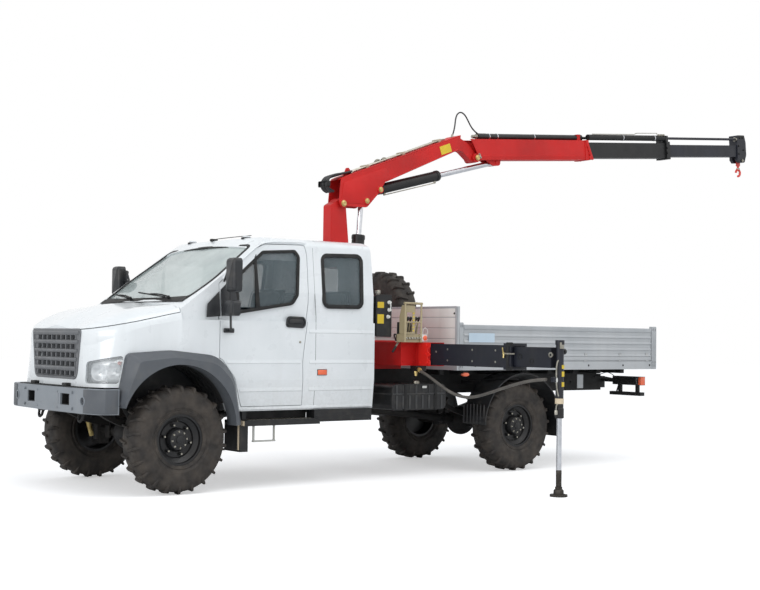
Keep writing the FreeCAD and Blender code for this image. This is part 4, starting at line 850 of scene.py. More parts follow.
def lug(side):
    """One chevron lug at the top of the tyre: a bent bar that thins over the shoulder."""
    crown = TYRE_RADIUS - TREAD_DEPTH
    stations = [(6, 20, 31, 0), (52, 13, 27, 0), (96, 4, 28, -1), (TYRE_HALF - 26, -4, 31, -7),
                (TYRE_HALF - 9, -5, 30, -38), (TYRE_HALF - 4, -4, 20, -78)]
    sections = []
    for across, along, width, drop in stations:
        top = TYRE_RADIUS + min(drop, 0) - 1
        foot = crown - 12 + min(drop, 0)
        inset = 0 if across < TYRE_HALF - 12 else 12
        section = []
        for dx, z in ((-width / 2 + 4, top), (width / 2 - 4, top), (width / 2 + 2, foot),
                (-width / 2 - 2, foot)):
            y = side * (across - (inset if z == foot else 0))
            section.append(Vector((along + dx, y, z)) * MM)
        sections.append(section)
    return soften(loft("lug", sections), 3, 1, 40)


def make_tyre_form():
    pieces = [carcass("tyre_form")]
    for side, shift in ((1, 0.0), (-1, 0.5)):
        pattern = lug(side)
        for i in range(LUG_PAIRS):
            angle = math.tau * (i + shift) / LUG_PAIRS
            pieces.append(copy_of(pattern, turn=Matrix.Rotation(angle * side, 4, "Y")))
        bpy.data.objects.remove(pattern)
    return join("tyre_form", pieces)


tyre_form = make_tyre_form()
print("one tyre has", len(tyre_form.data.polygons), "faces")

# %% [markdown]
# Five tyres: four on the road and the spare, which stands behind the cab with its axle along the lorry.
# Each copy gets its own mesh, moved to the box of the CAD tyre that it replaces.

# %% Five tyres
WHEEL_BODIES = {"tyre_front_left": "wheel_front_left", "tyre_front_right": "wheel_front_right",
    "tyre_rear_left": "wheel_rear_left", "tyre_rear_right": "wheel_rear_right", "spare_tyre": "lorry"}
for number, (node, body) in enumerate(WHEEL_BODIES.items()):
    quarter = Matrix.Rotation(math.pi / 2, 4, "Z") if node == "spare_tyre" else Matrix.Identity(4)
    start = Matrix.Rotation(0.11 * number, 4, "Y")
    tyre = copy_of(tyre_form, box_centre(node), quarter @ start)
    tyre.name = node + "_with_lugs"
    ready(tyre, TYRE_RUBBER, body, angle=40, replaces=(node,))
bpy.data.objects.remove(tyre_form)

# %% [markdown]
# A pressed steel wheel: wheel nuts round the dish, a hub flange with its own ring of bolts, a grease cap
# and a valve. The dish itself is already in the frame.

# %% Wheel nuts, hub and valve
RIM_BODIES = {"rim_front_left": ("wheel_front_left", 1), "rim_front_right": ("wheel_front_right", -1),
              "rim_rear_left": ("wheel_rear_left", 1), "rim_rear_right": ("wheel_rear_right", -1)}
NUT_CIRCLE, HUB_BOLT_CIRCLE = 146, 78
NUT_COUNT, HUB_BOLT_COUNT = 6, 8


def ring_of(pattern, count, start=0.0):
    """Copies of a piece turned about the Y axis, as a list."""
    return [copy_of(pattern, turn=Matrix.Rotation(start + math.tau * i / count, 4, "Y"))
        for i in range(count)]


def wheel_fittings():
    """Nuts, hub cap and valve about the Y axis, facing +Y, as black pieces and bright pieces."""
    nut = hex_bolt("nut", Vector((0, 40 * MM, NUT_CIRCLE * MM)), Y_AXIS, 34, 30)
    stud = rod("stud", Vector((0, 66, NUT_CIRCLE)) * MM, Vector((0, 80, NUT_CIRCLE)) * MM, 9, 12)
    bolt = hex_bolt("hub_bolt", Vector((0, 104 * MM, HUB_BOLT_CIRCLE * MM)), Y_AXIS, 17, 14)
    bright = ring_of(stud, NUT_COUNT, 0.3) + ring_of(bolt, HUB_BOLT_COUNT, 0.1)
    dark = ring_of(nut, NUT_COUNT, 0.3)
    for pattern in (nut, stud, bolt):
        bpy.data.objects.remove(pattern)
    cap = spun("grease_cap", [(116, 0.4), (116, 42), (126, 40), (131, 30), (133, 12), (134, 0.4)],
               Vector((0, 0, 0)), Y_AXIS, 32)
    flange = spun("hub_flange", [(92, 0.4), (92, 98), (103, 98), (107, 92), (108, 60), (119, 56), (119, 0.4)],
                  Vector((0, 0, 0)), Y_AXIS, 48)
    dark += [cap, flange]
    valve = pipe("valve", [Vector((24, 60, 196)) * MM, Vector((24, 92, 190)) * MM,
        Vector((24, 104, 176)) * MM], 5)
    bright.append(valve)
    return join("wheel_nuts", dark), join("wheel_studs", bright)


dark_fittings, bright_fittings = wheel_fittings()
for node, (body, side) in RIM_BODIES.items():
    facing = Matrix.Identity(4) if side > 0 else Matrix.Rotation(math.pi, 4, "Z")
    for pattern, finish, slot in ((dark_fittings, RIM_BLACK, "rim_black"),
            (bright_fittings, ZINC_STEEL, "rod_chrome")):
        piece = copy_of(pattern, Vector((box_centre("tyre" + node[3:]).x, box_centre("tyre" + node[3:]).y,
            box_centre("tyre" + node[3:]).z)), facing)
        piece.name = node.replace("rim", pattern.name)
        ready(piece, finish, body)
for pattern in (dark_fittings, bright_fittings):
    bpy.data.objects.remove(pattern)

# %% [markdown]
# ## Cab: glazing seals, trim and fittings
# Each window sits in a wide black rubber seal. On a photograph this black line is what makes a window
# look like a window, so the seals are real frames and not only a painted edge.

# %% Window seals
DOOR_WINDOW = [(-640, 1775, 12), (-1300, 1880, 90), (-1372, 1975, 60), (-1410, 2380, 60),
               (-1360, 2440, 30), (-960, 2412, 60), (-620, 2128, 20)]
REAR_WINDOW = [(-1688, 1852, 75), (-2208, 1858, 75), (-2238, 2436, 75), (-1692, 2420, 75)]
SCREEN = [(-905, 65, 70), (0, 26, 1200), (905, 65, 70), (948, 370, 900), (845, 1025, 90),
          (0, 1039, 1500), (-845, 1025, 90), (-948, 370, 900)]

for name, corners, bodies, wide in (("door_seal_left", DOOR_WINDOW, DOORS, 24),
        ("rear_seal_left", REAR_WINDOW, LORRY, 34)):
    line = rounded(corners)
    seal = frame_between(name, on_side(grown(line, 9), -10), on_side(grown(line, -wide), -10), (0, 14, 0))
    both_sides(soften(seal, 3, 2, 50), SEAL_RUBBER, bodies)

divider = slab("door_divider_left", on_side([(-846, 1802), (-900, 1812), (-882, 2386), (-858, 2346)], -10),
    (0, 13, 0))
both_sides(soften(divider, 3), SEAL_RUBBER, DOORS)

screen_line = rounded(SCREEN, 6)
outer = [on_screen(across, up, -6) for across, up in grown(screen_line, 8)]
inner = [on_screen(across, up, -6) for across, up in grown(screen_line, -26)]
screen_seal = frame_between("windscreen_seal", outer, inner, SCREEN_OUT * 11)
ready(soften(screen_seal, 3, 1, 50), SEAL_RUBBER)

# %% [markdown]
# The black corner panel carries the mirror. It runs over the gap between body and door, so it is two
# pieces, and the rear one opens with the door.

# %% Corner panels, handles, key plate and side marker
corner_front = slab("corner_panel_left_body", on_side([(-265, 1724), (-424, 1737), (-424, 1988),
    (-280, 1856)], 1), (0, 9, 0))
both_sides(soften(corner_front, 4), MIRROR_BLACK)
corner_rear = slab("corner_panel_left_door", on_side([(-440, 1738), (-660, 1760), (-632, 1850),
    (-600, 2112), (-558, 2110), (-440, 2002)], 1), (0, 9, 0))
both_sides(soften(corner_rear, 4), MIRROR_BLACK, DOORS)

dish_line = rounded([(-1203, 1668, 40), (-1222, 1640, 30), (-1434, 1632, 40), (-1456, 1690, 50),
    (-1434, 1750, 40), (-1222, 1756, 40)])
dish = frame_between("handle_frame_left", on_side(dish_line, -2), on_side(grown(dish_line, -17), -2),
    (0, 13, 0))
cup = slab("handle_cup_left", on_side(grown(dish_line, -12), -2), (0, 4, 0))
paddle = block("handle_paddle_left", at(-1328, 1037, 1702), (168, 14, 46))
paddle = soften(paddle, 9, 3)
both_sides(join("door_handle_left", [soften(dish, 5, 3, 50), cup, paddle]), MIRROR_BLACK, DOORS)

key = spun("key_plate_left", [(-2, 0.3), (-2, 13), (3, 13), (5, 11), (5, 5), (3, 4), (3, 0.3)],
    at(-1387, 1030, 1489), Y_AXIS, 20)
both_sides(key, ZINC_STEEL, DOORS)

marker = soften(block("side_marker_left", at(-1672, 1034, 1175), (112, 16, 52)), 7, 3)
both_sides(marker, AMBER_LENS)
marker_base = soften(block("marker_base_left", at(-1672, 1029, 1175), (126, 8, 64)), 3, 2)
both_sides(marker_base, SEAL_RUBBER)

# %% [markdown]
# The steel skin is stiffened by pressed lines. A pressed line is a step of a few millimetres: a long thin
# wedge that the light catches from above and leaves dark below.

# %% Pressed lines, drip rail and body seam
def pressed_line(name, start, end, z, depth=6, rise=14):
    """A wedge along the left side between two X places, flat to the skin above and stepped below."""
    section = spots((start, side_y(z - rise) - 2, z - rise), (start, side_y(z) + depth, z - 2),
        (start, side_y(z + 3 * rise) - 2, z + 3 * rise))
    return slab(name, section, (end - start, 0, 0))


DOOR_PRESSINGS = ((-512, -1396, 1276), (-668, -1420, 992))
for number, (start, end, z) in enumerate(DOOR_PRESSINGS):
    both_sides(pressed_line(f"door_pressing_left_{number}", start, end, z), CAB_WHITE, DOORS, angle=10)
for number, (start, end, z) in enumerate(((-1500, -2345, 1593), (-1510, -2345, 1276), (-1510, -2345, 992))):
    both_sides(pressed_line(f"side_pressing_left_{number}", start, end, z), CAB_WHITE, angle=10)

seam_line = [at(-1585, side_y(z) - 1, z) for z in (812, 1000, 1300, 1600, 1750, 1900, 2100, 2300, 2478)]
both_sides(pipe("body_seam_left", seam_line, 3, 6, False), SEAL_RUBBER)
drip = spots((-470, side_y(2118) + 3, 2110), (-700, side_y(2310) + 4, 2306), (-880, side_y(2450) + 5, 2452),
    (-985, side_y(2505) + 5, 2508), (-1200, side_y(2520) + 5, 2526), (-1500, side_y(2524) + 5, 2530))
both_sides(pipe("drip_rail_left", drip, 8, 8), CAB_WHITE)
sill = slab("sill_bead_left", spots((-640, side_y(812) - 3, 796), (-640, side_y(812) + 9, 804),
    (-640, side_y(830) + 3, 832), (-640, side_y(830) - 4, 832)), (-1710, 0, 0))
both_sides(soften(sill, 3), CAB_WHITE, angle=20)

# %% [markdown]
# The mirrors' heads come from the frame. Each gets a silvered pane in a lip on its rear face, a rounded
# back like a shell, and clamps where the arm holds it.

# %% Mirrors
def mirror_face(name, low_y, width, low_z, height, x):
    """The silvered pane of a mirror head and the lip round it, on its rear face."""
    line = rounded(box_line(low_y + 10, low_z + 10, low_y + width - 10, low_z + height - 10, 30))
    glass = slab(name + "_glass", crosswise(x + 2, grown(line, -10)), (-5, 0, 0))
    lip = frame_between(name + "_lip", crosswise(x + 3, line), crosswise(x + 3, grown(line, -14)),
        (-10, 0, 0))
    both_sides(glass, MIRROR_GLASS, DOORS)
    both_sides(soften(lip, 3, 2, 50), MIRROR_BLACK, DOORS)


def mirror_back(name, low_y, width, low_z, height, x, depth):
    """A domed shell over the front of a mirror head: a face extruded and scaled in twice."""
    line = rounded(box_line(low_y + 2, low_z + 2, low_y + width - 2, low_z + height - 2, 38))
    sections = [crosswise(x - 4, line), crosswise(x + depth * 0.5, grown(line, -6)),
                crosswise(x + depth * 0.85, grown(line, -20)), crosswise(x + depth, grown(line, -40))]
    both_sides(loft(name, sections), MIRROR_BLACK, DOORS, angle=50)


mirror_face("main_mirror_left", 1150, 180, 1975, 335, -490)
mirror_back("main_mirror_back_left", 1150, 180, 1975, 335, -425, 30)
mirror_face("wide_mirror_left", 1150, 190, 1740, 155, -470)
mirror_back("wide_mirror_back_left", 1168, 150, 1740, 150, -400, 24)
for number, (x, z) in enumerate(((-493, 1830), (-490, 2140), (-482, 2240))):
    clamp = soften(block(f"mirror_clamp_left_{number}", at(x, 1112, z), (38, 34, 30)), 6, 2)
    both_sides(clamp, MIRROR_BLACK, DOORS)
foot = soften(block("mirror_foot_left", at(-520, 1044, 1598), (118, 24, 46)), 9, 3)
both_sides(foot, MIRROR_BLACK, DOORS)

# %% [markdown]
# A black plastic cowl closes the gap between bonnet and windscreen, and two wipers lie along it.

# %% Cowl and wipers
across_steps = [-900 + 150 * i for i in range(13)]
cowl_line = [on_screen(y, -14, 2) for y in across_steps] + [on_screen(y, 58, 2)
    for y in reversed(across_steps)]
cowl = slab("cowl_panel", cowl_line, SCREEN_OUT * 9)
ready(soften(cowl, 2, 1, 50), SEAL_RUBBER)


def wiper(name, pivot, tip):
    """A wiper: pivot boss, sprung arm and a blade with its rubber, lying just over the glass."""
    across, up = pivot
    boss = rod(name + "_boss", on_screen(across, up, 0), on_screen(across, up, 36), 17, 16)
    middle = ((across + tip[0]) / 2, (up + tip[1]) / 2)
    arm = pipe(name + "_arm", [on_screen(across, up, 32), on_screen(middle[0], middle[1] + 18, 42),
        on_screen(*tip, 28)], 8, 8)
    reach = Vector((tip[0] - across, tip[1] - up)).normalized() * 330
    start, stop = (tip[0] - reach.x, tip[1] - reach.y), (tip[0] + reach.x, tip[1] + reach.y)
    blade = pipe(name + "_blade", [on_screen(*start, 20), on_screen(*tip, 24), on_screen(*stop, 20)], 8, 8)
    return join(name, [boss, arm, blade])


for number, (pivot, tip) in enumerate((((640, 40), (240, 100)), ((-90, 36), (-490, 100)))):
    ready(wiper(f"wiper_{number}", pivot, tip), SEAL_RUBBER)

# %% [markdown]
# On the roof: two small clearance lamps over the windscreen, a whip antenna laid back on its foot, and a
# round vent dome behind the driver.

# %% Roof fittings
for number, y in enumerate((-560, 560)):
    lamp_base = soften(block(f"roof_lamp_base_{number}", at(-1010, y, 2566), (112, 50, 24)), 6, 2)
    ready(lamp_base, MIRROR_BLACK)
    lamp_dome = soften(block(f"roof_lamp_{number}", at(-1008, y, 2582), (84, 36, 26)), 10, 3)
    ready(lamp_dome, CLEAR_LENS)
antenna = join("antenna", [pipe("antenna_whip", spots((-935, 0, 2578), (-1060, 0, 2604), (-1420, 0, 2652)),
    4, 6), soften(block("antenna_foot", at(-945, 0, 2572), (84, 40, 30)), 9, 2)])
ready(antenna, SEAL_RUBBER)
dome = spun("roof_vent", [(0, 0.3), (0, 66), (14, 62), (30, 48), (42, 26), (46, 0.3)], at(-1604, 0, 2583),
    Z_AXIS, 32)
ready(dome, CLEAR_LENS)
print("cab fittings on")

# %% [markdown]
# ## Nose: grille, headlamps, bumper and arches
# The grille is five rows of slots. Between the rows run rounded bars with a bright upper edge, and a
# frame holds them in the white nose panel. The badge's place in the middle is left bare.

# %% Grille
GRILLE_FACE = 835
grille_line = rounded([(-480, 1118, 70), (480, 1118, 70), (556, 1582, 25), (-556, 1582, 25)], 6)


bezel = frame_between("grille_bezel", crosswise(GRILLE_FACE - 6, grown(grille_line, 14)),
    crosswise(GRILLE_FACE - 6, grown(grille_line, -16)), (16, 0, 0))
ready(soften(bezel, 5, 3, 50), GRILLE_DARK)
GRILLE_BARS = ((1122, 1139), (1183, 1231), (1275, 1316), (1360, 1399), (1443, 1487), (1531, 1578))
for number, (low, high) in enumerate(GRILLE_BARS):
    half = 462 + 76 * ((low + high) / 2 - 1118) / 464
    section = spots((GRILLE_FACE - 4, -half, low + 2), (GRILLE_FACE + 10, -half, low + 4),
        (GRILLE_FACE + 22, -half, (low + high) / 2 + 4), (GRILLE_FACE + 16, -half, high - 5),
        (GRILLE_FACE - 4, -half, high - 1))
    bar = slab(f"grille_bar_{number}", section, (0, 2 * half, 0))
    ready(soften(bar, 4, 2, 25), GRILLE_DARK)
tab_pattern = soften(block("grille_tab", Vector((0, 0, 0)), (26, 16, 52)), 3, 1)
tabs = []
for low, high in zip((1139, 1231, 1316, 1399, 1487), (1183, 1275, 1360, 1443, 1531)):
    for number in range(9):
        y = -440 + 110 * number
        tabs.append(copy_of(tab_pattern, at(GRILLE_FACE - 6, y, (low + high) / 2)))
bpy.data.objects.remove(tab_pattern)
ready(join("grille_tabs", tabs), GRILLE_DARK)
mesh_back = slab("grille_shadow_panel", crosswise(GRILLE_FACE - 92, grown(grille_line, -6)), (6, 0, 0))
ready(mesh_back, SEAL_RUBBER)

# %% [markdown]
# Behind each clear lens stand two chromed bowls on a chromed plate, with an amber bulb for the turn
# signal. The lens itself is in the frame; the bowls are turned sections that face the same way.

# %% Headlamps
LAMP_FACING = Vector((0.75, 0.66, 0)).normalized()
LAMP_ACROSS = Vector((-0.66, 0.75, 0)).normalized()


def in_lamp(across, height, depth):
    """A point of the left lamp: across its face, at a height, and how far out along its facing."""
    flat = LAMP_FACING * depth + LAMP_ACROSS * across
    return at(flat.x, flat.y, height)


plate_line = rounded([(-34, 1090, 25), (286, 1092, 30), (316, 1326, 25), (-32, 1264, 40)])
plate = slab("lamp_plate_left", [in_lamp(a, h, 960) for a, h in plate_line], LAMP_FACING * 8)
both_sides(soften(plate, 3), LAMP_SILVER)
BOWL = [(0, 0.4), (0, 26), (16, 56), (44, 74), (48, 82), (40, 82), (36, 76), (10, 60), (-8, 26), (-8, 0.4)]
for number, (across, height, size) in enumerate(((70, 1180, 1.0), (212, 1196, 0.95))):
    bowl = spun(f"lamp_bowl_left_{number}", [(a * size, r * size) for a, r in BOWL],
        in_lamp(across, height, 972), LAMP_FACING, 40)
    bulb = spun(f"lamp_bulb_left_{number}", [(8, 0.3), (8, 14), (30, 14), (40, 8), (42, 0.3)],
        in_lamp(across, height, 972), LAMP_FACING, 20)
    both_sides(bowl, LAMP_SILVER)
    both_sides(bulb, CLEAR_LENS)
signal = spun("turn_bulb_left", [(0, 0.3), (0, 20), (22, 20), (34, 10), (36, 0.3)], in_lamp(262, 1268, 972),
    LAMP_FACING, 24)
both_sides(signal, AMBER_LENS)

# %% [markdown]
# The bumper's openings are dark because deep pressed boxes sit behind them. The end caps are a darker
# moulding, a blank plate holder spans the middle, and two rubber blocks carry the bonnet stops on top.

# %% Bumper
def bumper_front(y, out=0.0):
    """X of the bumper's face at a distance from the centre plane."""
    return 930 - 25 * (abs(y) / 780) ** 2 + out


for side in (-1, 1):
    opening = frame_between(f"tow_box_{side}", [at(bumper_front(400) - 22, side * 400 + dy, z)
        for dy, z in rounded(box_line(-95, 860, 95, 970, 8))],
        [at(bumper_front(400) - 22, side * 400 + dy, z)
        for dy, z in rounded(box_line(-88, 867, 88, 963, 6))], (-90, 0, 0))
    back = slab(f"tow_back_{side}", [at(bumper_front(400) - 108, side * 400 + dy, z)
        for dy, z in ((-93, 862), (93, 862), (93, 968), (-93, 968))], (-6, 0, 0))
    ready(join(f"tow_recess_{side}", [opening, back]), CHASSIS_BLACK)
    lug_eye = spun(f"tow_pin_{side}", [(-44, 0.3), (-44, 15), (44, 15), (44, 0.3)],
        at(bumper_front(400) - 62, side * 400, 912), Z_AXIS, 20)
    ready(lug_eye, AXLE_IRON)
    tube = spun(f"bumper_tube_{side}", [(-88, 0.4), (-88, 40), (-20, 40), (-20, 35.5), (-82, 35.5),
        (-82, 0.4)], at(bumper_front(770), side * 770, 910), X_AXIS, 32)
    ready(tube, CHASSIS_BLACK)
    rim_ring = spun(f"bumper_ring_{side}", [(-4, 35), (-4, 46), (4, 46), (7, 43), (7, 38), (2, 35)],
                    at(bumper_front(770) - 1, side * 770, 910), Vector((1, side * 0.1, 0)).normalized(), 40)
    ready(rim_ring, BUMPER_GREY)
    stop = soften(block(f"bonnet_stop_{side}", at(842, side * 375 - 75, 1046), (84, 108, 44)), 8, 2)
    ready(stop, SEAL_RUBBER)
plate_spots = [at(bumper_front(y) + 1, y, 0) for y in (-262, -130, 0, 130, 262)]
holder = slab("blank_plate_holder", [Vector((p.x - 0.003, p.y, 0.868))
    for p in plate_spots] + [Vector((p.x - 0.008, p.y, 0.868)) for p in reversed(plate_spots)], (0, 0, 104))
ready(soften(holder, 1.5, 1, 50), BUMPER_GREY)
upper_band = [at(bumper_front(y) - 20, y, 1030) for y in range(-780, 781, 130)] + [at(bumper_front(y) - 60,
    y, 1030) for y in range(780, -781, -130)]
band = slab("bumper_tread_strip", upper_band, (0, 0, 7))
ready(soften(band, 2, 1, 50), SEAL_RUBBER)
cap_line = [(905, 782), (898, 850), (876, 940), (846, 1012), (806, 1051), (740, 1056), (676, 1056),
    (676, 1049), (740, 1049), (802, 1043), (838, 1006), (868, 934), (890, 846), (897, 782)]
cap = slab("bumper_cap_left", [at(x + 2, y, 798) for x, y in cap_line], (0, 0, 224))
both_sides(soften(cap, 4, 2, 40), FLARE_GREY)
for number, (y, z) in enumerate(((560, 985), (560, 830), (235, 985), (235, 830))):
    sunk = 1 if y > 500 else 11.6
    bolt = hex_bolt(f"bumper_bolt_left_{number}", at(bumper_front(y) - sunk, y, z), X_AXIS, 22, 12)
    both_sides(bolt, BUMPER_GREY)

# %% [markdown]
# Below the bumper hang two forged tow shackles, and two brass-coloured dampers show beside the front
# axle. Each arch is lined in black, ribbed plastic that stays clear of the steered wheel.

# %% Tow shackles and dampers
for side in (-1, 1):
    shackle = pipe(f"tow_shackle_{side}", spots((770, side * 470 - 46, 790), (782, side * 470 - 50, 725),
        (790, side * 470, 690), (782, side * 470 + 50, 725), (770, side * 470 + 46, 790)), 14, 10)
    pin = rod(f"tow_shackle_pin_{side}", at(772, side * 470 - 66, 772), at(772, side * 470 + 66, 772), 15, 16)
    ready(join(f"tow_shackle_group_{side}", [shackle, pin]), AXLE_IRON)
for side in (-1, 1):
    foot, head = at(170, side * 560, 480), at(330, side * 455, 880)
    way = (head - foot).normalized()
    damper = spun(f"damper_{side}", [(0, 0.3), (0, 27), (190, 27), (196, 20), (198, 9), (360, 9),
        (360, 0.3)], foot, way, 24)
    sleeve = spun(f"damper_dust_sleeve_{side}", [(210, 24), (214, 32), (390, 32), (394, 24)], foot, way, 24)
    ready(damper, BRASS)
    ready(sleeve, CHASSIS_BLACK)

# %% Arch liners
LINER_RADIUS, LINER_FROM, LINER_TO = 634, 22, 158


def on_arch(radius, degrees, y):
    angle = math.radians(degrees)
    return at(50 + radius * math.cos(angle), y, 640 + radius * math.sin(angle))


def arch_band(name, outer_radius, inner_radius, low_y, high_y, steps=24):
    """A band of the wheel arch between two radii, drawn out across the arch."""
    angles = [LINER_FROM + (LINER_TO - LINER_FROM) * k / steps for k in range(steps + 1)]
    section = [on_arch(outer_radius, a, low_y) for a in angles] + [on_arch(inner_radius, a, low_y)
        for a in reversed(angles)]
    return slab(name, section, (0, high_y - low_y, 0))


liner = [arch_band("arch_liner_left", LINER_RADIUS, LINER_RADIUS - 5, 500, 955)]
liner += [arch_band(f"arch_rib_left_{n}", LINER_RADIUS - 4, LINER_RADIUS - 9, y, y + 26)
    for n, y in enumerate((560, 650, 740, 830))]
both_sides(join("arch_liner_left", liner), BOX_BLACK)
inner_wall = slab("arch_wall_left", [on_arch(LINER_RADIUS - 2, a, 498) for a in range(22, 159, 8)], (0, 6, 0))
both_sides(inner_wall, BOX_BLACK)
print("nose fittings on")

# %% [markdown]
# ## Crane: booms, cylinders and hook
# The booms lie on two slanted lines. One function places a point on the inner boom's top edge and one on
# the outer boom's line, so that everything on them is written in plain lengths along the boom.

# %% Lines of the booms
KNUCKLE, BOOM_TILT = (-4660, 3810), math.radians(5.4)
INNER_START, INNER_END = Vector((-2553, 3376)), Vector((-4374, 4062))
INNER_ALONG = (INNER_END - INNER_START).normalized()
LIFT_FOOT, LIFT_HEAD = (-2815, 1700), (-2925, 3138)
FOLD_FOOT, FOLD_HEAD = (-3124, 3286), (-5022, 3791)
BOOM_PIVOT = (-2589, 3084)


def on_boom(along, y, up):
    """A point of the outer boom and its extensions: along it from the knuckle, across, and above its line."""
    c, s = math.cos(BOOM_TILT), math.sin(BOOM_TILT)
    return at(KNUCKLE[0] - along * c + up * s, y, KNUCKLE[1] + along * s + up * c)


def on_inner(along, y, up):
    """A point measured from the inner boom's top edge, starting at the column end."""
    spot = INNER_START + INNER_ALONG * along + Vector((-INNER_ALONG.y, INNER_ALONG.x)) * -up
    return at(spot.x, y, spot.y)


def on_line(foot, head, along, y, out):
    """A point beside a cylinder's line: along it from the foot, across, and out on its lower side."""
    way = (Vector(head) - Vector(foot)).normalized()
    spot = Vector(foot) + way * along + Vector((-way.y, way.x)) * out
    return at(spot.x, y, spot.y)


BOOM_AXIS = (on_boom(1000, 0, 0) - on_boom(0, 0, 0)).normalized()
HOOK_RED = sprayed_enamel("hook_orange_red_enamel", "e2382a", "c92c1f", 0.04, 0.0, 0.35, 0.3)
YELLOW_ZINC = bare_metal("pin_yellow_passivated_zinc", "d9c48c", "b79c5c", 0.3)
usual_slot("rod_chrome", YELLOW_ZINC)
NODES["hook"].material_slots[0].material = HOOK_RED
NODES["extension_2"].material_slots[0].material = CRANE_NAVY


def pin_head(name, spot, side, radius):
    """A pin's end on a boom's side: a washer and a head with a turned hollow."""
    face = at(spot[0], side * spot[2], spot[1])
    out = Y_AXIS * side
    return spun(name, [(-6, 0.3), (-6, radius + 9), (2, radius + 9), (3, radius), (11, radius),
        (14, radius - 4), (14, radius * 0.45), (11, radius * 0.4), (11, 0.3)], face, out, 32)


def keeper(name, spot, side, angle):
    """A flat bar that stops a pin from turning, held by two hexagon bolts."""
    way = Vector((math.cos(angle), 0, math.sin(angle)))
    lift = Vector((-way.z, 0, way.x))
    face = at(spot[0], side * spot[2], spot[1]) + way * 0.05
    corners = [face + way * a * MM + lift * b * MM for a, b in ((-14, -34), (14, -34), (14, 34), (-14, 34))]
    bar = soften(slab(name, corners, (0, side * 6, 0)), 2, 1)
    bolts = [hex_bolt(name + f"_bolt{n}", face + lift * b * MM + Vector((0, side * 0.006, 0)),
        Y_AXIS * side, 17, 10) for n, b in enumerate((-22, 22))]
    return join(name, [bar] + bolts)


for side, label in SIDES:
    for name, spot, radius in (("pivot", (*BOOM_PIVOT, 124), 27), ("lift_pin", (*LIFT_HEAD, 124), 22),
            ("fold_pin", (*FOLD_FOOT, 124), 22)):
        ready(pin_head(f"{name}_head_{label}", spot, side, radius), YELLOW_ZINC, "inner_boom")
        boss = spun(f"{name}_boss_{label}", [(-15, 0.4), (-15, radius + 24), (-8, radius + 24),
            (-5, radius + 20), (-5, 0.4)], at(spot[0], side * 124, spot[1]), Y_AXIS * side, 32)
        ready(boss, CRANE_RED, "inner_boom")
    ready(pin_head(f"knuckle_head_{label}", (*KNUCKLE, 110), side, 26), YELLOW_ZINC, "outer_boom")
    ready(keeper(f"knuckle_keeper_{label}", (*KNUCKLE, 101), side, 2.6), ZINC_STEEL, "outer_boom")

# %% [markdown]
# The inner boom is a welded box. Doubler plates strengthen its deep end, weld beads run along its lower
# seams, and four steel pipes are clamped along its top. At the back the black hoses bend over its end.

# %% Inner boom
doubler_line = rounded([(-2556, 3092, 50), (-2915, 3098, 50), (-3062, 3250, 40), (-3170, 3384, 30),
    (-3290, 3436, 20), (-3210, 3560, 60), (-2590, 3330, 50)])
for side, label in SIDES:
    plate = slab(f"boom_doubler_{label}", upright(side * 109, doubler_line), (0, side * 6, 0))
    ready(soften(plate, 2.5, 2, 50), CRANE_RED, "inner_boom")
    seam = pipe(f"boom_weld_{label}", upright(side * 109, ((-3215, 3393), (-3700, 3604), (-4345, 3884))), 7,
        6, False)
    ready(seam, CRANE_RED, "inner_boom")
    top_seam = pipe(f"boom_top_weld_{label}", [on_inner(60, side * 108, -3),
        on_inner(1920, side * 108, -3)], 6, 6, False)
    ready(top_seam, CRANE_RED, "inner_boom")
sticker = slab("boom_blank_plate_left", [on_inner(1560, 110.5, -152), on_inner(1735, 110.5, -152),
    on_inner(1735, 110.5, -48), on_inner(1560, 110.5, -48)], (0, 1.5, 0))
ready(sticker, PLATE_YELLOW, "inner_boom")

top_pipes = [pipe(f"boom_pipe_{y}", [on_inner(205, y, 6), on_inner(240, y, 20), on_inner(700, y, 20),
    on_inner(1690, y, 20), on_inner(1730, y, 12)], 9, 8, False) for y in (-46, -16, 16, 46)]
ready(join("boom_top_pipes", top_pipes), ZINC_STEEL, "inner_boom")
for number, along in enumerate((430, 1010, 1610)):
    clamp = slab(f"pipe_clamp_{number}", [on_inner(along, -64, 0), on_inner(along + 44, -64, 0),
        on_inner(along + 40, -64, 38), on_inner(along + 4, -64, 38)], (0, 128, 0))
    ready(soften(clamp, 5, 2), TRIM_BEIGE, "inner_boom")
for number, (along, y) in enumerate(((680, -30), (735, 30))):
    fitting = spun(f"boom_fitting_{number}", [(-34, 0.3), (-34, 17), (-18, 19), (-16, 24), (16, 24),
        (18, 19), (34, 17), (34, 0.3)], on_inner(along, y, 28),
        (on_inner(100, 0, 0) - on_inner(0, 0, 0)).normalized(), 6)
    ready(fitting, ZINC_STEEL, "inner_boom")
bundle = []
for y in (-66, -38, -10, 18, 46, 70):
    sway = 10 * math.sin(y)
    bundle.append(pipe(f"bundle_{y}", spots((-2478, y, 3218), (-2420 + sway, y, 3236),
        (-2392 + sway, y * 0.9, 3300), (-2424, y * 0.8, 3378 + sway), (-2530, y * 0.8, 3414 + sway),
        (-2650, y * 0.7, 3444), (-2755, y * 0.6, 3476)), 14, 8))
ready(join("boom_hose_bundle", bundle), HOSE_RUBBER, "inner_boom")
strap = frame_between("bundle_strap", crosswise(-2372, box_line(-92, 3266, 92, 3336, 14)),
    crosswise(-2372, box_line(-84, 3274, 84, 3328, 12)), (-44, 0, 0))
ready(strap, SEAL_RUBBER, "inner_boom")
hose_end = pipe("knuckle_hose_fitting", [at(-4322, 0, 4040), at(-4330, 0, 4078)], 14, 8, False)
ready(hose_end, ZINC_STEEL, "inner_boom")

# %% [markdown]
# The outer boom's end is cut at a slant and lipped. On its top lie the extension cylinders: black painted
# barrels with chromed bands, glands and ports, and a thin pipe that feeds the second one.

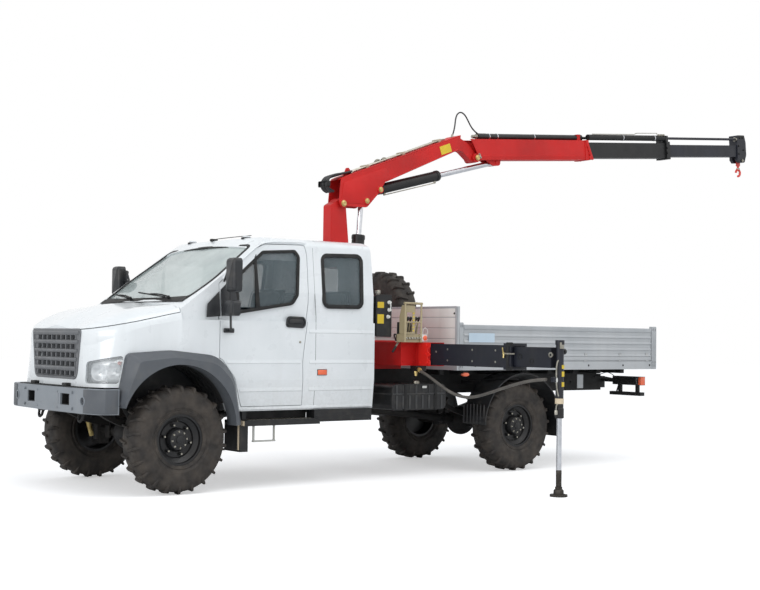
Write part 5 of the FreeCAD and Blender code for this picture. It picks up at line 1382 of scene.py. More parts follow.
# %% Outer boom and extensions
def tube_on_boom(name, profile, y, up, start):
    """A section turned about a line along the boom; the profile runs from the start."""
    return spun(name, profile, on_boom(start, y, up), BOOM_AXIS, 28)


sleeve = tube_on_boom("stage_one_sleeve", [(0, 36.3), (0, 42), (150, 42), (156, 39), (1840, 39), (1846, 44),
    (1888, 44), (1888, 36.3)], -45, 281, 145)
ready(sleeve, CRANE_BLACK, "outer_boom")
cover = tube_on_boom("stage_two_sleeve", [(0, 36.3), (0, 39), (1540, 39), (1546, 43), (1590, 43),
    (1590, 36.3)], 45, 281, 2078)
ready(cover, CRANE_BLACK, "extension_1")
for number, (along, y, body) in enumerate(((330, -45, "outer_boom"), (470, -45, "outer_boom"),
        (1130, -45, "outer_boom"), (2760, 45, "extension_1"), (3420, 45, "extension_1"))):
    ring = tube_on_boom(f"cylinder_band_{number}", [(0, 38.5), (0, 43), (14, 43), (14, 38.5)], y, 281, along)
    ready(ring, ROD_CHROME, body)
for number, (along, y, up, body) in enumerate(((60, -45, 281, "outer_boom"), (3560, 45, 300, "extension_1"))):
    port = tube_on_boom(f"port_block_{number}", [(0, 0.3), (0, 20), (22, 24), (60, 24), (62, 30), (88, 30),
        (88, 0.3)], y, up, along)
    ready(port, ZINC_STEEL, body)
feed = pipe("stage_two_feed_pipe", [on_boom(2140, 78, 322), on_boom(2980, 78, 326), on_boom(3040, 78, 344),
    on_boom(3470, 78, 348), on_boom(3476, 76, 320)], 6, 8, False)
ready(feed, ZINC_STEEL, "extension_1")
for number, along in enumerate((3500, 3548, 3596)):
    elbow = tube_on_boom(f"extension_nut_{number}", [(0, 0.3), (0, 15), (24, 15), (24, 0.3)], 78, 322, along)
    ready(elbow, ZINC_STEEL, "extension_1")
for side, label in SIDES:
    lip_line = [(1968, 232), (2008, 232), (2104, -24), (2084, -34), (2052, -26)]
    lip = slab(f"boom_lip_{label}", [on_boom(a, side * 108, u) for a, u in lip_line], (0, side * 7, 0))
    ready(soften(lip, 3, 2), CRANE_RED, "outer_boom")
    heel = spun(f"boom_heel_{label}", [(-8, 0.4), (-8, 33), (6, 33), (10, 28), (10, 0.4)],
        on_boom(2052, side * 110, 2), Y_AXIS * side, 32)
    ready(heel, CRANE_RED, "outer_boom")
    chamfer = slab(f"boom_lower_band_{label}", [on_boom(70, side * 99, 26), on_boom(70, side * 107, 20),
        on_boom(70, side * 99, -24)], BOOM_AXIS * 1900)
    ready(chamfer, CRANE_RED, "outer_boom", angle=10)
    for number, (along, up) in enumerate(((2000, 150), (2018, 96), (2034, 44))):
        bolt = hex_bolt(f"lip_bolt_{label}_{number}", on_boom(along, side * 115, up), Y_AXIS * side, 20, 9)
        ready(bolt, CRANE_RED, "outer_boom")
    mouth = slab(f"boom_mouth_plate_{label}", [on_boom(-88, side * 100, 236), on_boom(-60, side * 100, 236),
        on_boom(76, side * 100, -26), on_boom(46, side * 100, -28)], (0, side * 5, 0))
    ready(soften(mouth, 2, 1), CRANE_RED, "outer_boom")
    for number, (along, up, body) in enumerate(((3655, 70, "extension_1"), (3655, 140, "extension_1"),
            (5330, 60, "extension_2"), (5330, 180, "extension_2"), (5440, 120, "extension_2"),
            (5360, 300, "extension_2"), (5430, 300, "extension_2"))):
        reach = 101 if body == "extension_1" else 75.5
        bolt = hex_bolt(f"head_bolt_{label}_{number}", on_boom(along, side * reach, up), Y_AXIS * side, 24,
            11)
        ready(bolt, CRANE_BLACK, body)
    pad_piece = slab(f"slide_pad_{label}", [on_boom(2060, side * 78, 30), on_boom(2090, side * 78, 30),
        on_boom(2040, side * 78, 180), on_boom(2012, side * 78, 180)], (0, side * 12, 0))
    ready(pad_piece, TRIM_BEIGE, "outer_boom")
fin = slab("tip_fin", [on_boom(5312, -76, 300), on_boom(5458, -76, 300), on_boom(5470, -76, 336),
    on_boom(5306, -76, 336)], (0, 152, 0))
ready(soften(fin, 3, 2), CRANE_BLACK, "extension_2")
for side, label in SIDES:
    nut = hex_bolt(f"hook_pin_nut_{label}", on_boom(5390, side * 80, -41), Y_AXIS * side, 34, 16)
    ready(nut, ZINC_STEEL, "extension_2")
tip_nut = tube_on_boom("tip_rod_nut", [(0, 18.5), (0, 30), (26, 30), (26, 18.5)], 45, 281, 5270)
ready(tip_nut, ZINC_STEEL, "extension_2")

# %% [markdown]
# Lift and fold cylinder: a gland nut where the chromed rod comes out and a ring at the tail. The fold
# cylinder also has two ports and a bright pipe along its barrel.

# %% Cylinders
def cylinder_rings(label, foot, head, radius, length):
    """The gland nut and the tail ring of a cylinder's barrel."""
    base, tip = at(foot[0], 0, foot[1]), at(head[0], 0, head[1])
    way = (tip - base).normalized()
    outer, back = length - 46, radius + 26
    gland = spun(label + "_gland", [(outer, radius + 0.3), (outer, radius + 5), (length - 10, radius + 5),
        (length - 6, radius + 2), (length + 3, radius - 4), (length + 3, 37.5), (length - 2, 37.5),
        (length - 2, radius - 2)], base, way, 40)
    tail = spun(label + "_tail_ring", [(back, radius + 0.3), (back, radius + 4), (back + 28, radius + 4),
        (back + 28, radius + 0.3)], base, way, 40)
    for ring in (gland, tail):
        ready(ring, CRANE_BLACK, label + "_barrel")


FOLD_RADIUS, FOLD_LENGTH = 62, 1010


def by_fold(along, out):
    """A point beside the fold cylinder's barrel, out from its surface."""
    return on_line(FOLD_FOOT, FOLD_HEAD, along, 20, FOLD_RADIUS + out)


cylinder_rings("fold", FOLD_FOOT, FOLD_HEAD, FOLD_RADIUS, FOLD_LENGTH)
run = [by_fold(120, -4), by_fold(140, 16), by_fold(FOLD_LENGTH - 110, 16), by_fold(FOLD_LENGTH - 86, -4)]
ready(pipe("fold_pipe", run, 8, 8, False), ZINC_STEEL, "fold_barrel")
for number, along in enumerate((118, FOLD_LENGTH - 88)):
    port = rod(f"fold_port_{number}", by_fold(along, -6), by_fold(along, 22), 17, 6)
    ready(soften(port, 2, 1), ZINC_STEEL, "fold_barrel")
cylinder_rings("lift", LIFT_FOOT, LIFT_HEAD, 75, 1045)

# %% [markdown]
# The column turns on a bolted ring. The hook carries a spring latch and a swivel nut.

# %% Column foot and hook latch
SLEW_CIRCLE = 0.152
ring_bolts = [hex_bolt(f"slew_bolt_{n}", at(-2850, 0,
    1600) + Vector((math.cos(a), math.sin(a), 0)) * SLEW_CIRCLE, Z_AXIS, 19, 13)
    for n, a in enumerate([math.tau * k / 14 for k in range(14)])]
ready(join("slew_ring_bolts", ring_bolts), ZINC_STEEL, "column")
for side, label in SIDES:
    cheek_line = rounded([(-2452, 2420, 20), (-2452, 3040, 30), (-2640, 3040, 30), (-2690, 2620, 20),
        (-2755, 2420, 20)])
    cheek = slab(f"column_cheek_{label}", upright(side * 73.5, cheek_line), (0, side * 4, 0))
    ready(soften(cheek, 2, 1, 50), CRANE_RED, "column")
hook_low, hook_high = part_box("hook")
hook_x, hook_top = (hook_low.x + hook_high.x) / 2, hook_high.z
latch = pipe("hook_latch", [Vector((hook_low.x + 0.026, 0, hook_low.z + 0.128)),
    Vector((hook_low.x + 0.03, 0, hook_low.z + 0.098)), Vector((hook_low.x + 0.05, 0, hook_low.z + 0.062))],
    5, 6)
ready(latch, ZINC_STEEL, "hook")
swivel = spun("hook_swivel", [(0, 17.5), (0, 27), (22, 27), (22, 17.5)],
    Vector((hook_x, 0, hook_top - 0.158)), Z_AXIS, 6)
ready(swivel, ZINC_STEEL, "hook")
print("crane fittings on")

# %% [markdown]
# ## Crane base, console and oil tank
# The outrigger beams leave the base's channels through a red end plate, painted a lighter red than the
# crane as painted sunlight. On the channel stands the operator's console: a bank of black levers behind a
# beige guard with a blank label strip.

# %% Finishes of the base
# Painted sunlight: a lighter copy of the crane's red for the end plates, their bolts, the gusset and the
# ledge.
SUNLIT_RED = sprayed_enamel("base_end_plate_bright_red_enamel", "e8251c", "cf2018", 0.05, 0.02, 0.35, 0.3)
LEVER_KNOB = moulded_plastic("lever_knob_black_bakelite", "1c1d1f", "17181a", 2, 0.25)
CABLE_WHITE = moulded_plastic("cable_white_pvc_sheath", "dfe0dc", "cfd0cb", 2, 0.4)
BED_PALE = sprayed_enamel("headboard_pale_grey_enamel", "f0f1ec", "e2e3dd", 0.1, 0.05, 0.45, 0.15)
usual_slot("crane_red", SUNLIT_RED)
usual_slot("box_black", LEVER_KNOB)
usual_slot("console_beige", CABLE_WHITE)
usual_slot("bed_grey", BED_PALE)


def bitten(low, high, edge, depth, bites, start):
    """The (across, up) outline of an upright plate whose outer edge has round bites."""
    line = [(start, low), (edge, low)]
    for middle, radius in bites:
        line += [(edge - depth * math.sin(math.pi * k / 8), middle - radius * math.cos(math.pi * k / 8))
            for k in range(9)]
    return line + [(edge, high), (start, high)]


BASE_MIDDLE = at(-3000, 0, 0)
HALF_TURN = Matrix.Translation(BASE_MIDDLE) @ Matrix.Rotation(math.pi, 4,
    "Z") @ Matrix.Translation(-BASE_MIDDLE)


def both_ends(piece, finish):
    """The base's left piece and its twin on the right: half a turn about the base's middle."""
    twin = copy_of(ready(piece, finish), turn=HALF_TURN)
    twin.name = piece.name + "_right"
    ready(twin, finish)


end_line = bitten(1243, 1498, 1216, 46, [(1330, 30), (1412, 36)], 1010)
end_plate = slab("base_end_plate", crosswise(-2992, end_line), (-9, 0, 0))
both_ends(soften(end_plate, 2.5, 1), SUNLIT_RED)
end_bolts = [hex_bolt(f"end_bolt_{n}", at(-2992, y, z), X_AXIS, 22, 11)
    for n, (y, z) in enumerate(((1040, 1275), (1165, 1275), (1040, 1465), (1150, 1468), (1140, 1372)))]
both_ends(join("base_end_bolts", end_bolts), SUNLIT_RED)
gusset = slab("base_gusset", upright(940, ((-2800, 1500), (-2905, 1500), (-2905, 1560), (-2872, 1672),
    (-2846, 1672), (-2818, 1560))), (0, 12, 0))
ready(soften(gusset, 2, 1), SUNLIT_RED)
for number, (x, z) in enumerate(((-2859, 1640), (-2858, 1590), (-2860, 1530))):
    ready(hex_bolt(f"gusset_bolt_{number}", at(x, 952, z), Y_AXIS, 15, 8), ZINC_STEEL)
for number, (x, z) in enumerate(((-2820, 1290), (-2975, 1290), (-2820, 1450), (-2975, 1450))):
    ready(hex_bolt(f"channel_bolt_{number}", at(x, 950, z), Y_AXIS, 18, 9), CRANE_RED)
top_ledge = slab("base_top_ledge", upright(930, ((-2800, 1500), (-2800, 1512), (-3010, 1512),
    (-3010, 1500))), (0, 30, 0))
ready(soften(top_ledge, 2, 1), SUNLIT_RED)
lever_line = [at(-2790, 956, 1552), at(-2715, 956, 1452)]
ready(pipe("release_lever", lever_line, 12, 8, False), ZINC_STEEL)
ready(pipe("release_lever_grip", [at(-2715, 956, 1452), at(-2668, 956, 1390)], 14, 8, False), SEAL_RUBBER)
fittings = [spun("hose_fitting", [(-58, 0.3), (-58, 20), (-44, 22), (-42, 27), (-20, 27), (-18, 20),
    (0, 19), (0, 0.3)], at(-2958, 1100, 1182), Vector((0.06, 0.87, -0.42)).normalized(), 6),
    spun("hose_elbow", [(-40, 0.3), (-40, 15), (-14, 15), (-12, 20), (10, 20), (10, 0.3)],
    at(-2925, 1052, 1170), Z_AXIS, 6)]
ready(join("leg_hose_fitting", fittings), BRASS)
PORT_MIDDLE, PORT_REACH = at(-3005, 1000, 1180), (0.085, 0.06, 0.0585)


def in_port(spot):
    """Whether a spot of the base lies in the black block under the red channel."""
    away = spot - PORT_MIDDLE
    return abs(away.x) < PORT_REACH[0] and abs(away.y) < PORT_REACH[1] and away.z < PORT_REACH[2]


refinish_faces("crane_base", CRANE_BLACK, in_port)

# %% Console
guard_z = 1905
guard = frame_between("console_guard_panel", upright(1098,
    [(-2716, 1592, 6), (-2716, guard_z, 14), (-2866, guard_z, 14), (-2866, 1592, 6)]),
    upright(1098, box_line(-2750, 1608, -2826, 1826, 6)), (0, 5, 0))
ready(soften(guard, 1.5, 1), BEIGE_ENAMEL)
side_guard = slab("console_side_panel", crosswise(-2716,
    [(1010, 1592, 10), (1098, 1592, 6), (1098, guard_z, 10), (1050, guard_z, 10), (1010, 1780, 20)]),
    (-5, 0, 0))
ready(soften(side_guard, 1.5, 1), BEIGE_ENAMEL)
labels = [block(f"label_{n}", at(-2843, 1103.5, 1628 + 38 * n), (20, 1.4, 17)) for n in range(6)]
ready(join("console_blank_labels", labels), PLATE_YELLOW)
back_plate = block("console_back_plate", at(-2830, 952, 1655), (200, 4, 130))
ready(soften(back_plate, 1.5, 1), BOX_BLACK)
for number in range(6):
    x = -2935 + 38 * number
    stem = pipe(f"lever_{number}", spots((x, 1018, 1588), (x, 1040, 1660), (x, 1072, 1742)), 6.5, 8, False)
    ready(stem, ZINC_STEEL)
    knob = spun(f"lever_knob_{number}", [(-24, 0.3), (-24, 8), (-10, 12), (8, 15), (22, 14), (30, 7),
        (32, 0.3)], at(x, 1075, 1752), Vector((0, 0.34, 0.94)).normalized(), 16)
    ready(knob, LEVER_KNOB)
    spool = spun(f"spool_cap_{number}", [(0, 0.3), (0, 14), (26, 14), (30, 11), (30, 0.3)],
        at(x, 1090, 1545), Y_AXIS, 16)
    ready(spool, ZINC_STEEL)
    riser = pipe(f"console_hose_{number}", spots((x, 970, 1560), (x + 4, 925, 1590), (x + 10, 880, 1580),
        (x * 0.5 - 1440, 840, 1512)), 9, 8)
    ready(riser, HOSE_RUBBER)
lamp_box = block("work_lamp_box", at(-2992, 1065, 1548), (96, 90, 78))
ready(soften(lamp_box, 8, 3), CABLE_WHITE)
lamp_face = spun("work_lamp_lens", [(-4, 0.3), (-4, 30), (6, 28), (12, 18), (14, 0.3)],
    at(-3003, 1110, 1549), Y_AXIS, 24)
ready(lamp_face, AMBER_LENS)
cable = pipe("lamp_cable", spots((-3040, 1062, 1560), (-3080, 1062, 1575), (-3078, 1062, 1640),
    (-3040, 1062, 1668), (-3006, 1062, 1630), (-3010, 1062, 1586)), 5, 8)
ready(cable, CABLE_WHITE)

# %% Oil tank
seams = [frame_between(f"tank_seam_{n}", upright(y, box_line(-2404, 1554, -2616, 2016, 10)),
    upright(y, box_line(-2412, 1562, -2608, 2008, 8)), (0, 12, 0)) for n, y in enumerate((480, 988))]
ready(soften(join("oil_tank_seams", seams), 2, 1), BOX_BLACK)
for number, (low, high) in enumerate(((1700, 1800), (1870, 1935))):
    plate = slab(f"tank_blank_plate_{number}", upright(1000, box_line(-2418, low, -2506, high, 6)),
        (0, 1.5, 0))
    ready(plate, PLATE_YELLOW)
for number, (x, y, z) in enumerate(((-2575, 1000, 1932), (-2575, 1000, 1850), (-2560, 1000, 1775))):
    boss = spun(f"tank_fitting_{number}", [(-2, 0.3), (-2, 21), (10, 21), (12, 15), (30, 15), (30, 0.3)],
        at(x, y, z), Y_AXIS, 12)
    ready(boss, CABLE_WHITE)
sight = pipe("tank_sight_pipe", spots((-2575, 1022, 1932), (-2590, 1028, 1890), (-2575, 1022, 1850)), 6, 8)
ready(sight, CABLE_WHITE)
cap = spun("tank_filler_cap", [(0, 0.3), (0, 44), (8, 48), (34, 48), (42, 40), (44, 0.3)],
    at(-2510, 700, 2010), Z_AXIS, 32)
ready(cap, BOX_BLACK)
breather = spun("tank_breather", [(0, 0.3), (0, 20), (20, 20), (22, 30), (52, 30), (58, 22), (58, 0.3)],
    at(-2510, 880, 2010), Z_AXIS, 24)
ready(breather, ZINC_STEEL)
print("base and console done")

# %% [markdown]
# ## Outriggers
# Both sides are the same set, turned half a turn about the base's middle: a sleeve with a C-shaped collar
# and its latch, a beam, and a leg with pipes, a pale band, a chromed rod and a foot on a ball. SX is the
# X of the left sleeve's middle.

# %% Outrigger pieces
BAND_BEIGE = sprayed_enamel("leg_band_beige_enamel", "e3d2b6", "d2c09f", 0.15, 0.05, 0.5, 0.1)
FOOT_IRON = bare_metal("foot_dark_forged_iron", "54504c", "3c3936", 0.5)
usual_slot("crane_black", FOOT_IRON)
usual_slot("box_black", BAND_BEIGE)


def outrigger(piece, finish, kind, angle=35):
    """A piece of the left outrigger and its twin on the right one."""
    twin = copy_of(piece, turn=HALF_TURN)
    twin.name = piece.name + "_right"
    piece.name = piece.name + "_left"
    ready(piece, finish, kind + "_left", angle)
    ready(twin, finish, kind + "_right", angle)


SX = -3102.5
for number, (y, z) in enumerate(((1290, 1400), (1480, 1310), (1480, 1430), (1880, 1310), (1880, 1430),
        (2240, 1310), (2240, 1430))):
    plug = spun(f"sleeve_plug_{number}", [(-4, 0.3), (-4, 11), (0.9, 11), (0.9, 7), (0.1, 6), (0.1, 0.3)],
        at(SX + 88.5, y, z), X_AXIS, 16)
    outrigger(plug, ZINC_STEEL, "outrigger_sleeve")
collar_line = [(2428, 1226), (2528, 1226), (2528, 1268), (2468, 1268), (2468, 1478), (2528, 1478),
    (2528, 1516), (2428, 1516)]
collar = slab("sleeve_collar", crosswise(SX + 108, rounded([(*p, 8) for p in collar_line], 2)), (10, 0, 0))
outrigger(soften(collar, 2, 1), CRANE_BLACK, "outrigger_sleeve")
bar = rod("collar_bar", at(SX + 122, 2400, 1398), at(SX + 122, 2560, 1398), 9, 12)
outrigger(soften(bar, 2, 1), ZINC_STEEL, "outrigger_sleeve")
latch_parts = [rod("latch_pin", at(SX + 106, 2403, 1400), at(SX + 132, 2403, 1400), 14, 6),
    pipe("latch_handle", spots((SX + 126, 2403, 1400), (SX + 134, 2394, 1430), (SX + 134, 2396, 1462)), 7,
    8), pipe("latch_spring", [at(SX + 122, 2405, 1404), at(SX + 130, 2408, 1356)], 10, 8, False)]
outrigger(join("beam_latch", latch_parts), BRASS, "outrigger_sleeve")
for number, (y, z) in enumerate(((2590, 1372), (2760, 1330))):
    hole = spun(f"beam_hole_ring_{number}", [(-2, 22), (-2, 30), (4, 30), (4, 22)], at(SX + 74.5, y, z),
        X_AXIS, 24)
    outrigger(hole, CRANE_BLACK, "outrigger_beam")
LEG = (SX, 3080)
head_parts = [spun("leg_eye", [(-2, 14), (-2, 27), (9, 27), (9, 14)], at(SX + 75, 3032, 1398), X_AXIS, 24),
              block("leg_head_plate", at(SX + 12, 3121, 1492), (58, 4, 62))]
outrigger(join("leg_head_bright", head_parts), ZINC_STEEL, "outrigger_beam")
knob = spun("leg_turn_knob", [(-6, 0.3), (-6, 26), (16, 30), (26, 24), (28, 0.3)], at(SX - 46, 3084, 1432),
    -X_AXIS, 16)
outrigger(knob, BOX_BLACK, "outrigger_beam")
leg_pipe = pipe("leg_pipe", spots((SX + 36, 3096, 1345), (SX + 62, 3096, 1322), (SX + 62, 3096, 1140),
    (SX + 56, 3096, 1080), (SX + 44, 3096, 1030), (SX + 30, 3098, 990)), 8, 8)
outrigger(leg_pipe, ZINC_STEEL, "outrigger_beam")
return_pipe = pipe("leg_return_pipe", spots((SX + 40, 3094, 915), (SX + 58, 3094, 900),
    (SX + 60, 3094, 850), (SX + 50, 3094, 822), (SX + 34, 3094, 822)), 7, 8)
outrigger(return_pipe, ZINC_STEEL, "outrigger_beam")
for number, z in enumerate((1150, 830)):
    fitting = spun(f"leg_fitting_{number}", [(-22, 0.3), (-22, 15), (0, 18), (22, 15), (22, 0.3)],
        at(SX + 58, 3090, z), Z_AXIS, 6)
    outrigger(fitting, CABLE_WHITE if number == 0 else ZINC_STEEL, "outrigger_beam")
for number, (low, high) in enumerate(((1085, 1130), (1185, 1235), (1262, 1300))):
    curve_line = [(math.sin(t) * 40.3, math.cos(t) * 40.3)
        for t in [math.radians(-42 + 21 * k) for k in range(5)]]
    back_line = [(x * 1.04, y * 1.04) for x, y in reversed(curve_line)]
    plate = slab(f"leg_blank_plate_{number}", [at(SX - 6 + x, 3080 + y, low)
        for x, y in curve_line + back_line], (0, 0, high - low))
    outrigger(plate, PLATE_YELLOW, "outrigger_beam")
band = spun("leg_band", [(915, 40.2), (915, 43.5), (968, 43.5), (968, 40.2)], at(*LEG, 0), Z_AXIS, 40)
outrigger(band, BAND_BEIGE, "outrigger_beam")
collars = spun("leg_gland", [(772, 27), (772, 41), (778, 45), (868, 45), (874, 40.2), (900, 40.2),
    (900, 39), (790, 39), (790, 27)], at(*LEG, 0), Z_AXIS, 40)
outrigger(collars, CRANE_BLACK, "outrigger_beam")
lower_rod = spun("jack_lower_sleeve", [(52, 0.3), (52, 14), (66, 20), (80, 28.5), (250, 28.5), (262, 26.3),
    (262, 25), (100, 25), (100, 0.3)], at(*LEG, 0), Z_AXIS, 32)
outrigger(lower_rod, FOOT_IRON, "jack")
foot = spun("jack_foot_cup", [(2, 0.3), (2, 84), (8, 87.8), (15, 87.8), (19, 80), (24, 52), (62, 50),
    (70, 44), (74, 33), (66, 24), (60, 0.3)], at(*LEG, 0), Z_AXIS, 48)
outrigger(foot, FOOT_IRON, "jack")
for side in ("left", "right"):
    refinish_faces(f"jack_{side}", FOOT_IRON, lambda spot: spot.z < 0.2)
print("outriggers done")

# %% [markdown]
# ## Bed and rear
# The boards are ribbed steel profiles: one wavy section, drawn out along each board. The rails, posts,
# latches and bolts are separate pieces. Signs and plates are blank.

# %% Board sections
GALVANISED = bare_metal("latch_galvanised_steel", "c9cbcc", "9fa2a4", 0.4)
SIGN_BLUE = sprayed_enamel("sign_pale_blue_enamel", "c9dbe8", "bccfdd", 0.1, 0.0, 0.35, 0.2)
RAIL_GREY = sprayed_enamel("bed_rail_light_grey_enamel", "b4b8bb", "a5a9ac", 0.15, 0.05, 0.4, 0.2)
usual_slot("bed_grey", GALVANISED, SIGN_BLUE, RAIL_GREY)


def board_line(low, high, ribs):
    """The (out, up) section of a ribbed board's skin, from its lower edge to its top."""
    pitch = (high - low) / ribs
    line = []
    for n in range(ribs):
        z = low + n * pitch
        line += [(1, z), (11, z + 4), (12, z + 9), (11, z + 14), (2, z + 34), (1.5, z + pitch * 0.6),
            (5, z + pitch - 5)]
    return line + [(1, high), (-3, high), (-3, low)]


def board_skin(name, start, run, out_way, low, high, ribs):
    """The section drawn from a start point along a run, standing out along a direction."""
    line = [start + out_way * (o * MM) + Z_AXIS * (z * MM) for o, z in board_line(low, high, ribs)]
    return slab(name, line, run)


for side, label in SIDES:
    body = f"side_board_{label}"
    skin = board_skin(f"side_skin_{label}", at(-3522, side * 1167, 0), (-3176, 0, 0), Y_AXIS * side, 1348,
        1652, 4)
    ready(skin, BED_GREY, body, angle=20)
    top_rail = slab(f"side_top_rail_{label}", [at(-3520, side * (1167 + o), z)
        for o, z in rounded([(-3, 1654, 2), (11, 1654, 4), (12, 1706, 9), (-3, 1706, 2)])], (-3180, 0, 0))
    ready(top_rail, RAIL_GREY, body)
    low_rail = slab(f"side_low_rail_{label}", [at(-3520, side * (1167 + o), z)
        for o, z in rounded([(-3, 1304, 2), (8, 1304, 3), (9, 1346, 3), (-3, 1346, 2)])], (-3180, 0, 0))
    ready(low_rail, BED_GREY, body)
    for number, x in enumerate((-3640, -4260, -4880, -5500, -6120, -6620)):
        latch = block(f"board_latch_{label}_{number}", at(x, side * 1176, 1374), (46, 13, 40))
        pick_faces(latch, lambda c, n: abs(n.y) > 0.9 and c.y * side > 1.176)
        bpy.ops.mesh.inset(thickness=0.008)
        bpy.ops.transform.translate(value=(0, side * -0.005, 0))
        leave_edit()
        ready(soften(latch, 2, 1), GALVANISED, body)
        hinge = rod(f"board_hinge_{label}_{number}", at(x - 34, side * 1175, 1296),
            at(x + 34, side * 1175, 1296), 6, 12)
        ready(hinge, GALVANISED)
        ready(hex_bolt(f"rail_bolt_{label}_{number}", at(x - 60, side * 1170, 1240), Y_AXIS * side, 20, 3),
            BOX_BLACK)
    for post, (x0, x1, top) in enumerate(((-3455, -3510, 1728), (-6712, -6798, 1728))):
        plate = slab(f"bed_post_{label}_{post}", upright(side * 1168,
            [(x0, 1192, 6), (x0, top, 10), (x1, top, 10), (x1, 1192, 6)]), (0, side * 12, 0))
        ready(soften(plate, 3, 2), RAIL_GREY)
        slots = [block(f"slot_{n}", at(x0 + (x1 - x0) * f, side * 1180.2, z), (9, 2, 30))
            for n, (f, z) in enumerate(((0.25, 1236), (0.72, 1236), (0.25, 1276), (0.72, 1276),
            (0.25, 1690), (0.72, 1690)))]
        ready(join(f"post_slots_{label}_{post}", slots), GRILLE_DARK)
        ready(hex_bolt(f"post_bolt_{label}_{post}", at((x0 + x1) / 2, side * 1180, 1480), Y_AXIS * side, 16,
            6), GALVANISED)
sign = slab("board_blank_sign_left", upright(1179, box_line(-3590, 1508, -3985, 1612, 5)), (0, 1.5, 0))
ready(sign, SIGN_BLUE, "side_board_left")
tail_start = Vector((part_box("tailgate")[0].x + 3 * MM, -1060 * MM, 0))
tail = board_skin("tailgate_skin", tail_start, (0, 2120, 0), -X_AXIS, 1348, 1652, 4)
ready(tail, BED_GREY, "tailgate", angle=20)
planks = []
for number in range(5):
    low = 1300 + 121 * number
    line = rounded(box_line(-1158, low + 5, 1158, low + 119, 4), 2)
    planks.append(soften(slab(f"plank_{number}", crosswise(-3420, line), (5, 0, 0)), 2, 1))
ready(join("headboard_planks", planks), BED_PALE)
head_frame = frame_between("headboard_frame", crosswise(-3414,
    [(-1170, 1292, 6), (1170, 1292, 6), (1170, 1912, 12), (-1170, 1912, 12)]),
    crosswise(-3414, [(-1140, 1300, 6), (1140, 1300, 6), (1140, 1886, 10), (-1140, 1886, 10)]), (-12, 0, 0))
ready(soften(head_frame, 2, 1), RAIL_GREY)
for number, z in enumerate((1360, 1830)):
    ready(hex_bolt(f"headboard_bolt_{number}", at(-3414, 1128, z), X_AXIS, 18, 7), BOX_BLACK)
boards = [block(f"floor_board_{n}", at(-5130, -1050 + 150 * n, 1291), (3140, 143, 3)) for n in range(15)]
ready(join("bed_floor_boards", [soften(b, 1.2, 1) for b in boards]), BED_GREY)
bearers = [block(f"bearer_{n}", at(-3560 - 440 * n, 0, 1158), (70, 1500, 62)) for n in range(8)]
ready(join("bed_bearers", [soften(b, 4, 1) for b in bearers]), CHASSIS_BLACK)

# %% Rear lamps and side markers
MARKER_X, MARKER_Z = -3585, 1142
for side, label in SIDES:
    out = Y_AXIS * side
    body = block(f"lamp_back_{label}", at(-6645, side * 812, 1035), (86, 384, 106))
    ready(soften(body, 10, 3), BOX_BLACK)
    clear = block(f"lamp_clear_{label}", at(-6645, side * 1026, 1035), (90, 44, 108))
    ready(soften(clear, 8, 3), CLEAR_LENS)
    amber = block(f"lamp_amber_{label}", at(-6645, side * 1071, 1035), (92, 44, 110))
    ready(soften(amber, 10, 3), AMBER_LENS)
    red = block(f"lamp_red_{label}", at(-6690, side * 860, 1035), (12, 250, 88))
    ready(soften(red, 5, 2), RED_LENS)
    white = block(f"lamp_reverse_{label}", at(-6690, side * 690, 1035), (12, 80, 88))
    ready(soften(white, 5, 2), CLEAR_LENS)
    for number, y in enumerate((720, 900)):
        ready(hex_bolt(f"lamp_bolt_{label}_{number}", at(-6602, side * y, 1035), X_AXIS, 15, 7),
            CHASSIS_BLACK)
        strut = pipe(f"lamp_strut_{label}_{number}",
            [at(-6645, side * (690 + 290 * number), 985), at(-6645, side * (650 + 370 * number), 880)], 13,
            6, False)
        ready(strut, CHASSIS_BLACK)
    arm = pipe(f"lamp_arm_{label}", spots((-6420, side * 470, 1085), (-6560, side * 520, 1070),
        (-6640, side * 640, 1040)), 14, 8)
    ready(arm, CHASSIS_BLACK)
    loop = pipe(f"lamp_cable_{label}", spots((-6440, side * 560, 1110), (-6490, side * 600, 1142),
        (-6560, side * 640, 1120), (-6600, side * 680, 1070)), 5, 8)
    ready(loop, SEAL_RUBBER)
    centre = at(MARKER_X, 0, MARKER_Z)
    marker = spun(f"side_marker_{label}_0", [(-30, 0.3), (-30, 24), (0, 27), (10, 24), (16, 12), (17, 0.3)],
        at(MARKER_X, side * 1138, MARKER_Z), out, 20)
    marker.data.transform(Matrix.Translation(centre) @ Matrix.Diagonal((1.9, 1, 0.85,
        1)) @ Matrix.Translation(-centre))
    ready(marker, AMBER_LENS)
    holder = block(f"marker_holder_{label}_0", at(MARKER_X, side * 1100, 1166), (70, 70, 34))
    ready(soften(holder, 3, 1), CHASSIS_BLACK)
box_plate = slab("rear_box_plate_left", upright(880, box_line(-5660, 950, -5765, 1120, 6)), (0, 8, 0))
ready(soften(box_plate, 2, 1), BED_GREY)
print("bed done")

# %% [markdown]
# ## Under the cab and along the chassis
# Pale stirrup rods and a light-edged running board show under the door. The fuel tank is ribbed plastic
# with a moulded seam. Mudguard folds, brake hoses and rail bolts fill what shows between the axles.

